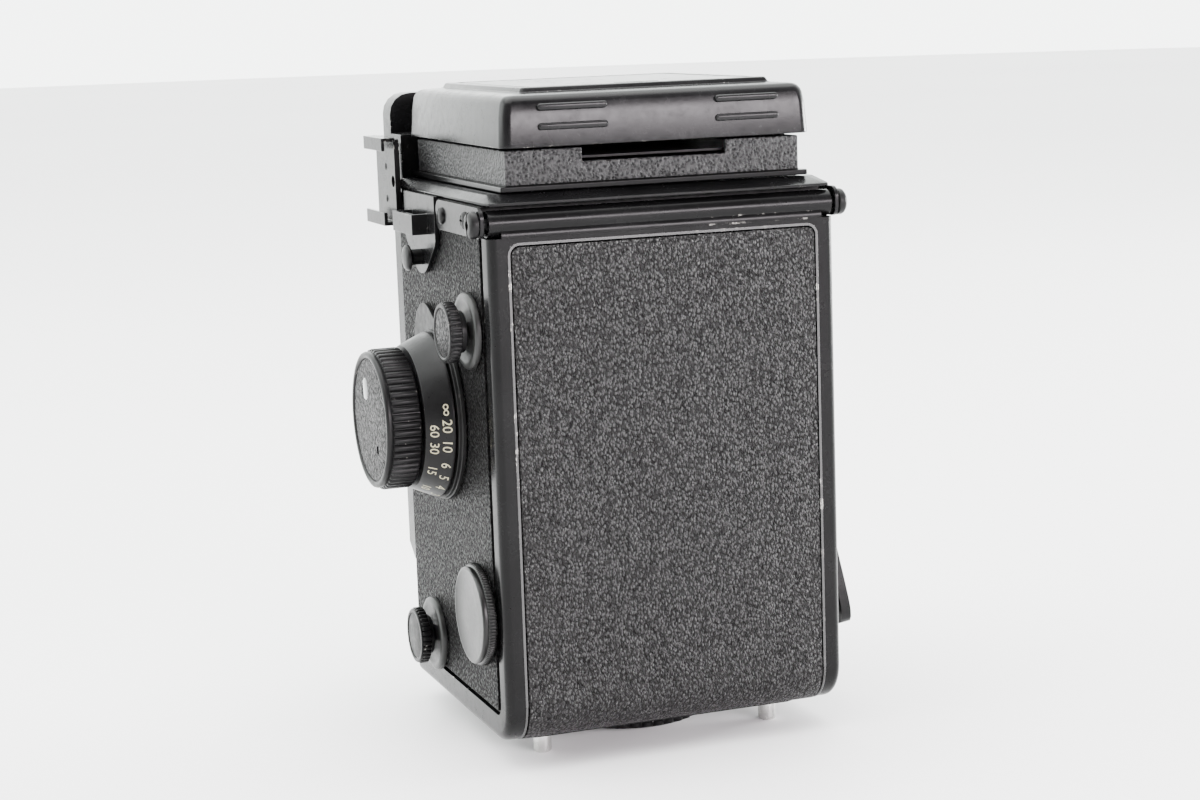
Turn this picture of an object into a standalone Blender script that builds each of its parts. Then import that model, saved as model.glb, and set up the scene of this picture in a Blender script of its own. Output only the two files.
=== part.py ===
"""Twin lens reflex camera for 120 roll film, as an assembly of separate pieces.

Metres, +Z up. +X is the side of the focusing knob, +Y is the back of the camera, and
z = 0 is the underside of the four feet. Sizes below are in millimetres, measured from the
tripod socket's axis; ORIGIN then sets the whole camera over the world's origin. A moving
piece has its origin on its joint's axis.
"""

import math

import bpy
from mathutils import Matrix, Vector

MM = 0.001
ORIGIN = (2.2, -17.0, 0.0)    # the middle of the whole object's box, at the feet

# Body
BODY_X = 39.4            # half width of the casting
FRONT_Y = -36.5
REAR_Y = 28.7
BODY_Z0 = 12.5
BODY_Z1 = 123.5
SKIN_X = 40.2            # outer face of the side leather
HALF_X = 40.0            # half width of the back door and top cap
BACK_Y = 34.0
DOOR_Z0 = 6.0
TAKING_Z = 50.0          # axes of the two lenses
VIEWING_Z = 93.0
GATE = 56.4
FILM_Y = 26.7

# Axes that run across the camera, as (y, z)
FOCUS = (-5.0, 74.5)
TAKEUP = (20.0, 96.3)
SUPPLY = (-17.0, 20.3)
CRANK = (2.0, 62.0)
IDLER = (8.925, 83.406)
BATTERY = (19.8, 33.4)
CORNER = (25.0, 15.0)    # centre of the door's rounded lower edge
HINGE = (31.0, 120.0)
COUNTER = (-22.0, 92.0)
LOWER_ROLLER = (24.4, 17.0)
UPPER_ROLLER = (24.4, 83.4)
LID_AXIS = (-37.6, 140.5)
REAR_FLAP_AXIS = (26.8, 132.8)
SIDE_FLAP = (32.2, 130.3)    # x, z of each side flap's axis

# Focusing: the cam's radius grows evenly, 7 mm in 290 degrees
CAM_START = 5.0
CAM_RISE = 1.383
CAM_TURN = math.radians(290)

SPOOL_HALF = 32.6
SPOOL_R = 12.0
MODULE = 1.0
CRANK_TEETH = 24
IDLER_TEETH = 21
TAKEUP_TEETH = 13
CRANK_LEAN = math.radians(9.04)
CRANK_TILT = math.radians(8.5)
CRANK_PIN_X = -45.2

COLOURS = {
    "paint": (0.012, 0.012, 0.013, 1.0),
    "leather": (0.03, 0.03, 0.032, 1.0),
    "steel": (0.55, 0.55, 0.53, 1.0),
    "brass": (0.45, 0.34, 0.16, 1.0),
    "aluminium": (0.6, 0.6, 0.6, 1.0),
    "glass": (0.2, 0.25, 0.28, 1.0),
    "plastic": (0.04, 0.04, 0.04, 1.0),
    "ivory": (0.7, 0.68, 0.6, 1.0),
}


# ---- shapes: each is (points, faces), in millimetres ----

def loft(sections):
    """A closed skin through sections that have the same number of points."""
    count = len(sections[0])
    points = [p for section in sections for p in section]
    faces = [tuple(range(count - 1, -1, -1))]
    for k in range(len(sections) - 1):
        for i in range(count):
            j = (i + 1) % count
            faces.append((k * count + i, k * count + j, (k + 1) * count + j, (k + 1) * count + i))
    faces.append(tuple(range((len(sections) - 1) * count, len(sections) * count)))
    return points, faces


def place(axis, along, u, v):
    """A point from its distance along an axis and its two other coordinates, in order."""
    if axis == "x":
        return (along, u, v)
    if axis == "y":
        return (u, along, v)
    return (u, v, along)


def prism(axis, outline, a, b):
    return loft([[place(axis, t, u, v) for u, v in outline] for t in (a, b)])


def box(x0, x1, y0, y1, z0, z1):
    return prism("z", [(x0, y0), (x1, y0), (x1, y1), (x0, y1)], z0, z1)


def circle(centre, radius, count, start=0.0, end=None):
    """Points round a circle, or along an arc that includes both its ends."""
    if end is None:
        angles = [start + 2 * math.pi * i / count for i in range(count)]
    else:
        angles = [start + (end - start) * i / count for i in range(count + 1)]
    return [(centre[0] + radius * math.cos(t), centre[1] + radius * math.sin(t)) for t in angles]


def rod(axis, centre, radius, a, b, count=20):
    return prism(axis, circle(centre, radius, count), a, b)


def rounded(u0, u1, v0, v1, radii, steps=3):
    """A rectangle whose corners, from (u0, v0) anticlockwise, have these radii."""
    outline = []
    corners = ((u0, v0, 1, 1, math.pi), (u1, v0, -1, 1, 1.5 * math.pi), (u1, v1, -1, -1, 0), (u0, v1, 1, -1, 0.5 * math.pi))
    for (u, v, du, dv, start), r in zip(corners, radii):
        if r <= 0:
            outline.append((u, v))
            continue
        centre = (u + du * r, v + dv * r)
        outline += circle(centre, r, steps, start, start + math.pi / 2)
    return outline


def turned(axis, centre, profile, count=24, ring=False):
    """A profile of (radius, along) turned about an axis; ring closes it on itself."""
    points, rows = [], []
    for radius, along in profile:
        if radius <= 0:
            rows.append([len(points)] * count)
            points.append(place(axis, along, *centre))
            continue
        rows.append(list(range(len(points), len(points) + count)))
        points += [place(axis, along, u, v) for u, v in circle(centre, radius, count)]
    faces = []
    pairs = list(zip(rows, rows[1:]))
    if ring:
        pairs.append((rows[-1], rows[0]))
    for low, high in pairs:
        for i in range(count):
            j = (i + 1) % count
            corner = [low[i], low[j], high[j], high[i]]
            face = [p for n, p in enumerate(corner) if p not in corner[:n]]
            if len(face) > 2:
                faces.append(tuple(face))
    if not ring:
        for row in (rows[0], rows[-1]):
            if row[0] != row[1]:
                faces.append(tuple(row))
    return points, faces


def knurl(centre, outer, inner, count):
    """A round outline with sharp ridges, two points to each."""
    return [circle(centre, inner if i % 2 else outer, 2 * count)[i] for i in range(2 * count)]


def gear(centre, teeth, phase=0.0):
    """A slim-toothed spur gear's outline."""
    pitch = MODULE * teeth / 2
    outline = []
    for i in range(teeth):
        t = phase + 2 * math.pi * i / teeth
        half_tip = 0.30 * MODULE / pitch
        half_root = 0.85 * MODULE / pitch
        outline += circle(centre, pitch - 1.1 * MODULE, 1, t - half_root, t - half_root)[:1]
        outline += circle(centre, pitch + 0.7 * MODULE, 1, t - half_tip, t + half_tip)
        outline += circle(centre, pitch - 1.1 * MODULE, 1, t + half_root, t + half_root)[:1]
    return outline


def cam_outline():
    outline = []
    steps = 30
    for i in range(steps + 1):
        turn = CAM_TURN * i / steps
        outline.append(circle(FOCUS, CAM_START + CAM_RISE * turn, 1, math.pi - turn, math.pi - turn)[0])
    return outline


def moved(shape, matrix):
    points, faces = shape
    return [tuple(matrix @ Vector(p)) for p in points], faces


def mirrored(shape):
    """The same shape on the other side of the camera."""
    points, faces = shape
    return [(-x, y, z) for x, y, z in points], [tuple(reversed(f)) for f in faces]


# ---- objects ----

def material(name, colour):
    made = bpy.data.materials.new(name)
    made.use_nodes = True
    shader = made.node_tree.nodes["Principled BSDF"]
    shader.inputs["Base Color"].default_value = COLOURS[colour]
    shader.inputs["Roughness"].default_value = 0.25 if colour in ("paint", "glass", "steel") else 0.6
    shader.inputs["Metallic"].default_value = 1.0 if colour in ("steel", "brass", "aluminium") else 0.0
    return made


def mesh_object(name, shape, pivot):
    points, faces = shape
    data = bpy.data.meshes.new(name)
    data.from_pydata([tuple((c - o) * MM for c, o in zip(p, pivot)) for p in points], [], faces)
    data.validate()
    obj = bpy.data.objects.new(name, data)
    bpy.context.scene.collection.objects.link(obj)
    bpy.context.view_layer.objects.active = obj
    obj.select_set(True)
    bpy.ops.object.mode_set(mode="EDIT")
    bpy.ops.mesh.select_all(action="SELECT")
    bpy.ops.mesh.normals_make_consistent(inside=False)
    bpy.ops.object.mode_set(mode="OBJECT")
    obj.select_set(False)
    return obj


def piece(name, colour, shape, *steps, pivot=(0.0, 0.0, 0.0)):
    """A node: a shape, then what is added to it, cut from it or kept of it, in order."""
    obj = mesh_object(name, shape, pivot)
    obj.data.materials.append(material(name, colour))
    obj.location = [(c - o) * MM for c, o in zip(pivot, ORIGIN)]
    operations = {"add": "UNION", "cut": "DIFFERENCE", "keep": "INTERSECT"}
    for number, (action, tool_shape) in enumerate(steps):
        tool = mesh_object(f"{name}_{action}{number}", tool_shape, pivot)
        tool.parent = obj
        tool.hide_render = True
        tool.display_type = "WIRE"
        modifier = obj.modifiers.new(f"{action}{number}", "BOOLEAN")
        modifier.operation = operations[action]
        modifier.solver = "EXACT"
        modifier.object = tool
    return obj


def both(name, colour, shape, *steps):
    """A left piece, and its mirror image on the right."""
    piece(f"left_{name}", colour, shape, *steps)
    other = [(action, mirrored(tool)) for action, tool in steps]
    piece(f"right_{name}", colour, mirrored(shape), *other)


# ---- the body and what is fixed to it ----

def body_shell():
    supply_arc = circle(SUPPLY, 12.7, 8, math.pi, 0.12 * math.pi)
    supply_room = supply_arc + [(-4.4, 20.0), (-4.4, 16.2), (30.0, 16.2), (30.0, 10.0), (-29.7, 10.0)]
    takeup_room = [(30.0, 80.3), (16.5, 80.3), (9.2, 88.6), (7.4, 91.0), (7.4, 101.8), (17.2, 111.6), (30.0, 111.6)]
    mirror_room = [(-33.3, 68.0), (-27.9, 68.0), (19.98, 115.88), (23.3, 115.88), (23.3, 126.0), (-33.3, 126.0)]
    behind_mirror = [(-21.0, 70.3), (-12.0, 67.4), (5.8, 73.4), (5.8, 98.0), (-21.0, 71.6)]

    rear_corner = [(31.0, 10.0), (31.0, 15.2), (28.75, 15.2)]
    rear_corner += circle((26.0, 15.2), 2.7, 3, 0.0, -math.pi / 2) + [(26.0, 10.0)]

    def window(y, half, low, high):
        return [(-half, y, low), (half, y, low), (half, y, high), (-half, y, high)]

    exposure_room = loft([
        window(-33.3, 16.6, 34.3, 65.8),
        window(-12.0, 18.0, 34.3, 65.8),
        window(29.6, GATE / 2, 21.8, 79.0),
    ])
    outline = rounded(-BODY_X, BODY_X, FRONT_Y, REAR_Y, (2.5, 2.5, 0, 0))
    apron = rounded(-36.0, 36.0, 7.5, 25.5, (7.0, 7.0, 2.0, 2.0))
    steps = [
        ("add", prism("y", apron, -45.0, -36.0)),
        ("cut", box(-40.0, 40.0, -36.5, -34.0, 5.0, 12.3)),
        ("add", box(-6.0, 6.0, -39.6, -37.6, 3.4, 9.0)),
        ("cut", box(-4.2, 4.2, -41.0, -36.0, 4.2, 6.2)),
        ("cut", prism("x", supply_room, -33.2, 33.2)),
        ("cut", prism("x", takeup_room, -33.2, 33.2)),
        ("cut", prism("x", mirror_room, -27.9, 27.9)),
        ("cut", prism("x", behind_mirror, -31.0, 31.0)),
        ("cut", exposure_room),
        ("cut", box(-33.9, 33.9, FILM_Y, 31.0, 10.0, 111.6)),
        ("cut", box(-32.0, 32.0, 20.8, 31.0, 10.0, 20.8)),
        ("cut", box(-45.0, 45.0, 27.6, 31.0, 116.4, 126.0)),
        ("cut", prism("x", rear_corner, -45.0, 45.0)),
        ("cut", rod("y", (0.0, TAKING_Z), 15.6, -38.0, -33.0, 28)),
        ("cut", rod("y", (0.0, VIEWING_Z), 15.6, -38.0, -33.0, 28)),
    ]
    for side in (-1, 1):
        x0, x1 = sorted((side * 30.2, side * 33.6))
        steps.append(("cut", box(x0, x1, -33.3, 8.3, 61.5, 87.5)))
        steps.append(("cut", box(x0, x1, -38.0, -33.0, 70.2, 78.8)))
    for centre, radius in ((CRANK, 13.3), (IDLER, 11.8), (TAKEUP, 7.8)):
        steps.append(("cut", rod("x", centre, radius, -36.9, -34.6, 24)))
    steps += [
        ("add", rod("x", IDLER, 2.0, -38.0, -34.0, 14)),
        ("cut", rod("x", CRANK, 3.4, -41.0, -36.0)),
        ("cut", rod("x", TAKEUP, 2.9, -35.0, -33.0, 16)),
        ("cut", rod("x", COUNTER, 9.0, -41.0, -37.4)),
        ("add", rod("x", COUNTER, 1.5, -38.3, -37.0, 12)),
        ("add", rod("x", SUPPLY, 1.9, -34.0, -30.6, 14)),
        ("cut", rod("x", FOCUS, 2.5, 33.0, 41.0, 16)),
        ("cut", rod("x", TAKEUP, 2.4, 33.0, 41.0, 16)),
        ("cut", rod("x", SUPPLY, 2.4, 33.0, 41.0, 16)),
        ("cut", rod("x", BATTERY, 8.2, 34.4, 41.0, 24)),
        ("cut", rod("y", (-27.5, 16.5), 4.7, -46.0, -38.5)),
    ]
    piece("body_shell", "aluminium", prism("z", outline, BODY_Z0, BODY_Z1), *steps)


def side_leather():
    outline = [(-34.0, 13.4), (28.0, 13.4), (28.0, 116.6), (0.2, 116.6), (0.2, 123.0), (-34.0, 123.0)]
    holes = [(FOCUS, 3.0), (TAKEUP, 3.0), (SUPPLY, 3.0), (BATTERY, 8.6)]
    steps = [("cut", rod("x", centre, r, 39.0, 41.0, 16)) for centre, r in holes]
    piece("left_leatherette", "leather", prism("x", outline, 39.7, SKIN_X), *steps)
    steps = [("cut", rod("x", centre, r, -41.0, -39.0, 16)) for centre, r in ((CRANK, 4.0), (COUNTER, 8.0))]
    piece("right_leatherette", "leather", prism("x", outline, -SKIN_X, -39.7), *steps)


def top_cap():
    def ring(inset, z):
        outline = rounded(-HALF_X + inset, HALF_X - inset, -39.2, BACK_Y - 0.4 - 2 * inset, (1.5, 1.5, 2.5, 2.5), 2)
        return [(x, y, z) for x, y in outline]

    cap = loft([ring(0.0, 123.8), ring(0.0, 124.4), ring(2.0, 126.0)])
    piece(
        "top_cap", "paint", cap,
        ("cut", box(-29.4, 29.4, -34.8, 24.8, 120.0, 130.0)),
    )


def meter_housing():
    profile = [
        (-55.0, 115.5), (-36.8, 115.5), (-36.8, 123.4), (-39.6, 123.4), (-39.6, 136.0),
        (-48.3, 136.0), (-48.3, 145.5), (-55.0, 145.5),
    ]
    front = rounded(-37.5, 37.5, 115.5, 145.5, (1.0, 1.0, 5.0, 5.0), 4)
    piece(
        "meter_housing", "paint", prism("x", profile, -40.0, 40.0),
        ("keep", prism("y", front, -56.0, -36.0)),
        ("cut", box(-24.0, 24.0, -47.2, -41.4, 129.5, 134.9)),
        ("cut", box(-23.0, 23.0, -46.2, -42.4, 134.0, 140.0)),
        ("cut", box(-23.6, 23.6, -46.8, -41.8, 135.2, 140.0)),
        ("cut", rod("y", (24.0, 130.0), 4.6, -56.0, -52.0, 18)),
        ("add", rod("z", (0.0, -44.3), 0.9, 128.0, 130.8, 10)),
    )
    piece("meter_scale_window", "glass", box(-23.3, 23.3, -46.5, -42.1, 135.3, 135.9))
    needle = [(-0.35, -45.6), (0.35, -45.6), (1.6, -44.9), (1.6, -43.7), (-1.6, -43.7), (-1.6, -44.9)]
    piece(
        "meter_needle", "ivory", prism("z", needle, 131.4, 131.9),
        ("add", box(-20.0, 0.0, -44.5, -44.1, 131.4, 131.9)),
        ("add", rod("z", (0.0, -44.3), 1.4, 131.1, 132.2, 12)),
        pivot=(0.0, -44.3, 131.6),
    )


def finder_inside():
    centre_y, centre_z, half = -5.0, 93.0, 32.0
    s = math.sqrt(0.5)
    low = (centre_y - half * s, centre_z - half * s)
    high = (centre_y + half * s, centre_z + half * s)
    back = (1.2 * s, -1.2 * s)
    glass = [low, high, (high[0] + back[0], high[1] + back[1]), (low[0] + back[0], low[1] + back[1])]
    piece("viewing_mirror", "glass", prism("x", glass, -27.4, 27.4))
    piece("focusing_screen", "glass", box(-28.9, 28.9, -34.2, 24.2, 123.9, 125.4))


def hood_frame():
    piece(
        "hood_frame", "paint", box(-35.6, 35.6, -38.8, 30.2, 126.3, 127.5),
        ("add", box(-34.0, 34.0, -37.6, 28.9, 126.8, 135.0)),
        ("cut", box(-32.8, 32.8, -36.4, 27.7, 126.0, 137.0)),
        ("cut", box(-16.6, 16.6, 27.0, 30.0, 132.0, 137.0)),
    )


def shoe_and_lugs():
    base = rounded(-44.0, -28.0, 115.7, 136.0, (1.5, 1.5, 1.5, 1.5), 2)
    piece(
        "accessory_shoe", "steel", prism("x", base, 41.2, 42.5),
        ("add", box(42.2, 45.5, -44.0, -28.0, 115.7, 116.55)),
        ("add", box(42.2, 45.5, -44.0, -28.0, 135.15, 136.0)),
        ("add", box(44.7, 45.5, -44.0, -28.0, 116.2, 118.8)),
        ("add", box(44.7, 45.5, -44.0, -28.0, 133.0, 135.6)),
        ("add", box(37.9, 41.8, -42.5, -40.0, 117.5, 134.0)),
        ("cut", rod("x", (-29.9, 125.8), 1.35, 40.0, 44.0, 12)),
    )
    shield = [(-25.0, 124.0), (-25.0, 114.0), (-17.5, 107.2), (-13.0, 105.8), (-8.5, 107.2), (-0.5, 114.0), (-0.5, 124.0)]
    both(
        "strap_lug", "paint", prism("x", shield, 40.5, 41.5),
        ("add", box(41.2, 45.2, -22.0, -20.6, 115.2, 119.8)),
        ("add", box(41.2, 45.2, -7.4, -6.0, 115.2, 119.8)),
        ("add", box(44.0, 45.2, -22.0, -6.0, 115.2, 119.8)),
        ("add", turned("x", (-13.0, 109.6), [(1.8, 41.2), (1.8, 44.0), (3.0, 44.3), (2.6, 45.2), (0, 45.5)], 14)),
    )
    plate = rounded(0.7, 33.5, 117.0, 123.6, (1.0, 3.0, 3.0, 1.0), 3)
    both(
        "hinge_plate", "paint", prism("x", plate, 40.6, 41.5),
        ("cut", rod("x", HINGE, 1.5, 40.0, 42.0, 14)),
        ("add", turned("x", (5.4, 120.2), [(1.9, 41.2), (1.9, 41.9), (1.2, 42.4)], 12)),
        ("add", turned("x", (22.5, 120.4), [(1.9, 41.2), (1.9, 41.9), (1.2, 42.4)], 12)),
    )
    heads = [(1.2, -42.2), (1.2, 42.2)]
    piece(
        "hinge_pin", "steel", turned("x", HINGE, heads, 14),
        ("add", turned("x", HINGE, [(2.9, 41.8), (2.9, 43.0), (2.2, 43.7)], 16)),
        ("add", turned("x", HINGE, [(2.2, -43.7), (2.9, -43.0), (2.9, -41.8)], 16)),
        ("cut", box(43.1, 45.0, 30.6, 31.4, 116.0, 124.0)),
        ("cut", box(-45.0, -43.1, 30.6, 31.4, 116.0, 124.0)),
    )


def side_fittings():
    round_part = circle(FOCUS, 19.5, 26, math.radians(152), math.radians(430))
    plate = round_part + [(-12.2, 98.6), (-14.0, 99.4), (-15.8, 98.4)]
    piece("focus_index_plate", "paint", prism("x", plate, 40.6, 42.3), ("cut", rod("x", FOCUS, 2.6, 40.0, 43.0, 16)))
    for name, centre, r in (("takeup_escutcheon", TAKEUP, 8.4), ("supply_escutcheon", SUPPLY, 8.6)):
        profile = [(2.5, 40.6), (r, 40.6), (r, 41.5), (r - 0.7, 42.0), (2.5, 42.0)]
        piece(name, "aluminium", turned("x", centre, profile, 22, ring=True))
    cell = [(0, 34.7), (6.6, 34.7), (6.6, 35.5), (7.75, 35.9), (7.75, 40.2), (0, 40.2)]
    piece("battery_cell", "steel", turned("x", BATTERY, cell, 22))
    edge = circle(BATTERY, 11.35, 32)
    piece(
        "battery_cover", "aluminium", prism("x", edge, 40.6, 42.4),
        ("add", turned("x", BATTERY, [(10.5, 42.0), (10.75, 43.2), (10.3, 43.6)], 28)),
        pivot=(42.0, *BATTERY),
    )
    piece(
        "counter_cover", "paint", turned("x", COUNTER, [(10.2, -41.5), (10.4, -40.5)], 28),
        ("cut", box(-43.0, -40.0, -24.8, -19.2, 94.6, 99.4)),
    )
    dial = [(1.9, -38.7), (8.4, -38.7), (8.4, -37.8), (1.9, -37.8)]
    piece("counter_disc", "ivory", turned("x", COUNTER, dial, 24, ring=True), pivot=(-38.2, *COUNTER))


# ---- focusing ----

def focusing():
    pivot = (45.0, *FOCUS)
    cams = [("add", prism("x", cam_outline(), x, x + 1.5)) for x in (31.4, -32.9)]
    piece("focus_shaft", "steel", rod("x", FOCUS, 2.0, -33.1, 49.2, 14), *cams, pivot=pivot)
    cone = [(2.4, 42.8), (18.8, 42.8), (18.8, 43.4), (16.2, 49.0), (2.4, 49.0)]
    piece("distance_scale", "paint", turned("x", FOCUS, cone, 30, ring=True), pivot=pivot)
    edge = knurl(FOCUS, 15.9, 15.2, 36)
    piece(
        "focus_knob", "paint", prism("x", edge, 49.5, 56.4),
        ("add", turned("x", FOCUS, [(14.8, 56.0), (15.4, 57.0), (15.0, 57.5)], 30)),
        ("cut", rod("x", FOCUS, 13.9, 56.9, 59.0, 28)),
        pivot=pivot,
    )


def lens_panel():
    front = rounded(-37.8, 37.8, 27.0, 115.0, (9.0, 9.0, 2.0, 2.0))
    inside = rounded(-36.4, 36.4, 28.4, 113.6, (7.6, 7.6, 1.0, 1.0))
    steps = [("cut", prism("y", inside, -45.6, -30.0))]
    for z in (TAKING_Z, VIEWING_Z):
        steps.append(("cut", rod("y", (0.0, z), 18.6, -50.0, -44.0, 32)))
    for side in (-1, 1):
        x0, x1 = sorted((side * 30.9, side * 32.9))
        steps.append(("add", box(x0, x1, -46.0, -13.0, 71.2, 77.8)))
        steps.append(("add", box(x0, x1, -13.5, -10.4, 73.0, 76.0)))
        steps.append(("cut", rod("y", (side * 27.5, 71.5), 2.9, -50.0, -44.0, 14)))
    piece("lens_board", "paint", prism("y", front, -47.8, -37.0), *steps)
    for name, z, body_r in (("viewing_lens_barrel", VIEWING_Z, 19.6), ("taking_lens_barrel", TAKING_Z, 21.6)):
        profile = [
            (15.2, -29.6), (15.2, -44.0), (18.2, -44.0), (18.2, -48.1), (body_r, -48.1), (body_r, -55.6),
            (19.4, -56.4), (19.4, -60.2), (20.3, -60.8), (20.3, -66.8), (19.4, -68.0),
            (17.2, -68.0), (16.8, -62.2), (14.2, -62.0), (13.6, -29.6),
        ]
        piece(name, "paint", turned("y", (0.0, z), profile, 26, ring=True))
    for name, z in (("viewing_lens_glass", VIEWING_Z), ("taking_lens_glass", TAKING_Z)):
        profile = [(0, -63.2), (5.0, -62.8), (9.6, -61.8), (13.7, -59.9), (13.6, -56.5), (0, -55.5)]
        piece(name, "glass", turned("y", (0.0, z), profile, 28))
    for name, x in (("aperture_wheel", 27.5), ("speed_wheel", -27.5)):
        centre = (x, 71.5)
        piece(
            name, "paint", prism("y", knurl(centre, 8.6, 8.0, 18), -52.6, -48.2),
            ("add", rod("y", centre, 2.5, -48.6, -44.6, 14)),
            ("add", turned("y", centre, [(6.4, -53.4), (6.9, -52.3)], 18)),
            pivot=(x, -50.0, 71.5),
        )
    tab = [(-1.6, -27.2), (1.6, -27.2), (2.2, -22.4), (-2.2, -22.4)]
    lever = moved(prism("y", tab, -51.4, -50.2), Matrix.Rotation(math.radians(-35), 4, "Y"))
    lever = moved(lever, Matrix.Translation((0.0, 0.0, TAKING_Z)))
    ring = [(21.95, -51.2), (23.0, -51.2), (23.0, -50.4), (21.95, -50.4)]
    piece(
        "self_timer_lever", "steel", turned("y", (0.0, TAKING_Z), ring, 36, ring=True), ("add", lever),
        pivot=(0.0, -50.8, TAKING_Z),
    )
    piece(
        "release_button", "steel",
        turned("y", (-27.5, 16.5), [(4.3, -42.0), (4.3, -49.6), (3.6, -50.4), (2.4, -50.0), (0, -49.6)], 20),
        pivot=(-27.5, -46.0, 16.5),
    )
    socket = [(1.9, -45.4), (3.4, -45.4), (3.4, -48.0), (2.6, -48.4), (1.9, -48.4)]
    piece("sync_socket", "steel", turned("y", (27.5, 16.5), socket, 20, ring=True))


# ---- spools, knobs and the winding train ----

def film_transport():
    half, r = SPOOL_HALF, SPOOL_R
    spool = [
        (2.5, -half), (r, -half), (r, 1.1 - half), (5.6, 1.3 - half),
        (5.6, half - 1.3), (r, half - 1.1), (r, half), (2.5, half),
    ]
    piece("takeup_spool", "plastic", turned("x", TAKEUP, spool, 24, ring=True), pivot=(0.0, *TAKEUP))
    piece("supply_spool", "plastic", turned("x", SUPPLY, spool, 24, ring=True), pivot=(0.0, *SUPPLY))
    for name, centre, stem, head in (("takeup_knob", TAKEUP, 44.0, 47.0), ("supply_knob", SUPPLY, 43.6, 46.2)):
        edge = knurl(centre, 6.6, 6.3, 18)
        piece(
            name, "aluminium", prism("x", edge, stem, head),
            ("add", rod("x", centre, 4.6, 42.4, stem + 0.5, 18)),
            ("add", rod("x", centre, 1.9, 30.8, 43.0, 14)),
            ("cut", rod("x", centre, 5.4, head - 0.5, head + 2.0, 20)),
            pivot=(stem, *centre),
        )
    for name, centre in (("upper_roller", UPPER_ROLLER), ("lower_roller", LOWER_ROLLER)):
        ends = [(1.2, -31.6), (1.2, -31.0), (2.5, -31.0), (2.5, 31.0), (1.2, 31.0), (1.2, 31.6)]
        piece(name, "steel", turned("x", centre, ends, 14), pivot=(0.0, *centre))
    bore = ("cut", rod("x", IDLER, 2.35, -38.0, -34.0, 14))
    idler_phase, takeup_phase = gear_phases()
    piece(
        "idler_gear", "brass", prism("x", gear(IDLER, IDLER_TEETH, idler_phase), -36.4, -35.0), bore,
        pivot=(-35.7, *IDLER),
    )
    piece(
        "takeup_drive", "brass", prism("x", gear(TAKEUP, TAKEUP_TEETH, takeup_phase), -36.4, -35.0),
        ("add", rod("x", TAKEUP, 2.5, -35.3, -33.1, 14)),
        ("add", rod("x", TAKEUP, 1.9, -33.4, -30.6, 14)),
        pivot=(-35.7, *TAKEUP),
    )


def gear_phases():
    """Turns each gear so that its teeth fall in the gaps of the one before it."""
    def bearing(a, b):
        return math.atan2(b[1] - a[1], b[0] - a[0])

    first = bearing(CRANK, IDLER)
    step = 2 * math.pi / CRANK_TEETH
    crank_phase = (first / step - round(first / step)) * step
    offset = first - crank_phase
    slip = (offset / step - round(offset / step)) * step
    idler = first + math.pi + math.pi / IDLER_TEETH + slip * CRANK_TEETH / IDLER_TEETH
    idler -= crank_phase * CRANK_TEETH / IDLER_TEETH * -1.0
    second = bearing(IDLER, TAKEUP)
    pitch = 2 * math.pi / IDLER_TEETH
    lead = ((second - idler) / pitch - round((second - idler) / pitch)) * pitch
    takeup = second + math.pi + math.pi / TAKEUP_TEETH + lead * IDLER_TEETH / TAKEUP_TEETH
    return idler, takeup


def winding_crank():
    crank_pivot = (-42.0, *CRANK)
    lean = Matrix.Translation((0.0, *CRANK)) @ Matrix.Rotation(CRANK_LEAN, 4, "X")
    ears = []
    for side in (-1, 1):
        y0, y1 = sorted((side * 4.2, side * 6.4))
        ear = rounded(-47.4, -42.4, -2.6, 2.6, (2.4, 0, 0, 2.4), 3)
        shape = loft([[(x, y, z) for x, z in ear] for y in (y0, y1)])
        ears.append(("add", moved(shape, lean)))
    pin = loft([[(CRANK_PIN_X + u, y, v) for u, v in circle((0, 0), 0.9, 10)] for y in (-6.0, 6.0)])
    piece(
        "crank_hub", "steel", rod("x", CRANK, 3.0, -40.9, -35.6, 18),
        ("add", prism("x", gear(CRANK, CRANK_TEETH), -36.4, -35.0)),
        ("add", turned("x", CRANK, [(10.6, -42.9), (11.0, -42.4), (11.0, -40.7)], 30)),
        *ears,
        ("add", moved(pin, lean)),
        pivot=crank_pivot,
    )
    arm_frame = lean @ Matrix.Translation((CRANK_PIN_X, 0.0, 0.0)) @ Matrix.Rotation(CRANK_TILT, 4, "Y")
    arm_pivot = (CRANK_PIN_X, *CRANK)
    outline = [(-3.8, 1.3), (-3.8, -8.0), (-4.6, -36.0), (-4.4, -42.0), (-2.6, -45.4)]
    outline += [(-y, z) for y, z in reversed(outline)]
    piece(
        "crank_arm", "steel", moved(prism("x", outline, -1.3, 1.1), arm_frame),
        ("add", moved(loft([[(u, y, v) for u, v in circle((0, 0), 2.0, 12)] for y in (-3.6, 3.6)]), arm_frame)),
        ("cut", moved(loft([[(u, y, v) for u, v in circle((0, 0), 1.25, 10)] for y in (-8.0, 8.0)]), arm_frame)),
        ("add", moved(rod("x", (0.0, -40.2), 1.4, 0.5, 8.0, 12), arm_frame)),
        pivot=arm_pivot,
    )
    grip = [(1.8, 1.6), (3.3, 1.6), (3.6, 2.4), (3.2, 7.0), (2.4, 8.0), (1.8, 8.0)]
    grip_pivot = tuple(arm_frame @ Vector((4.5, 0.0, -40.2)))
    piece("crank_grip", "steel", moved(turned("x", (0.0, -40.2), grip, 18, ring=True), arm_frame), pivot=grip_pivot)


# ---- the back door and its latch ----

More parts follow.
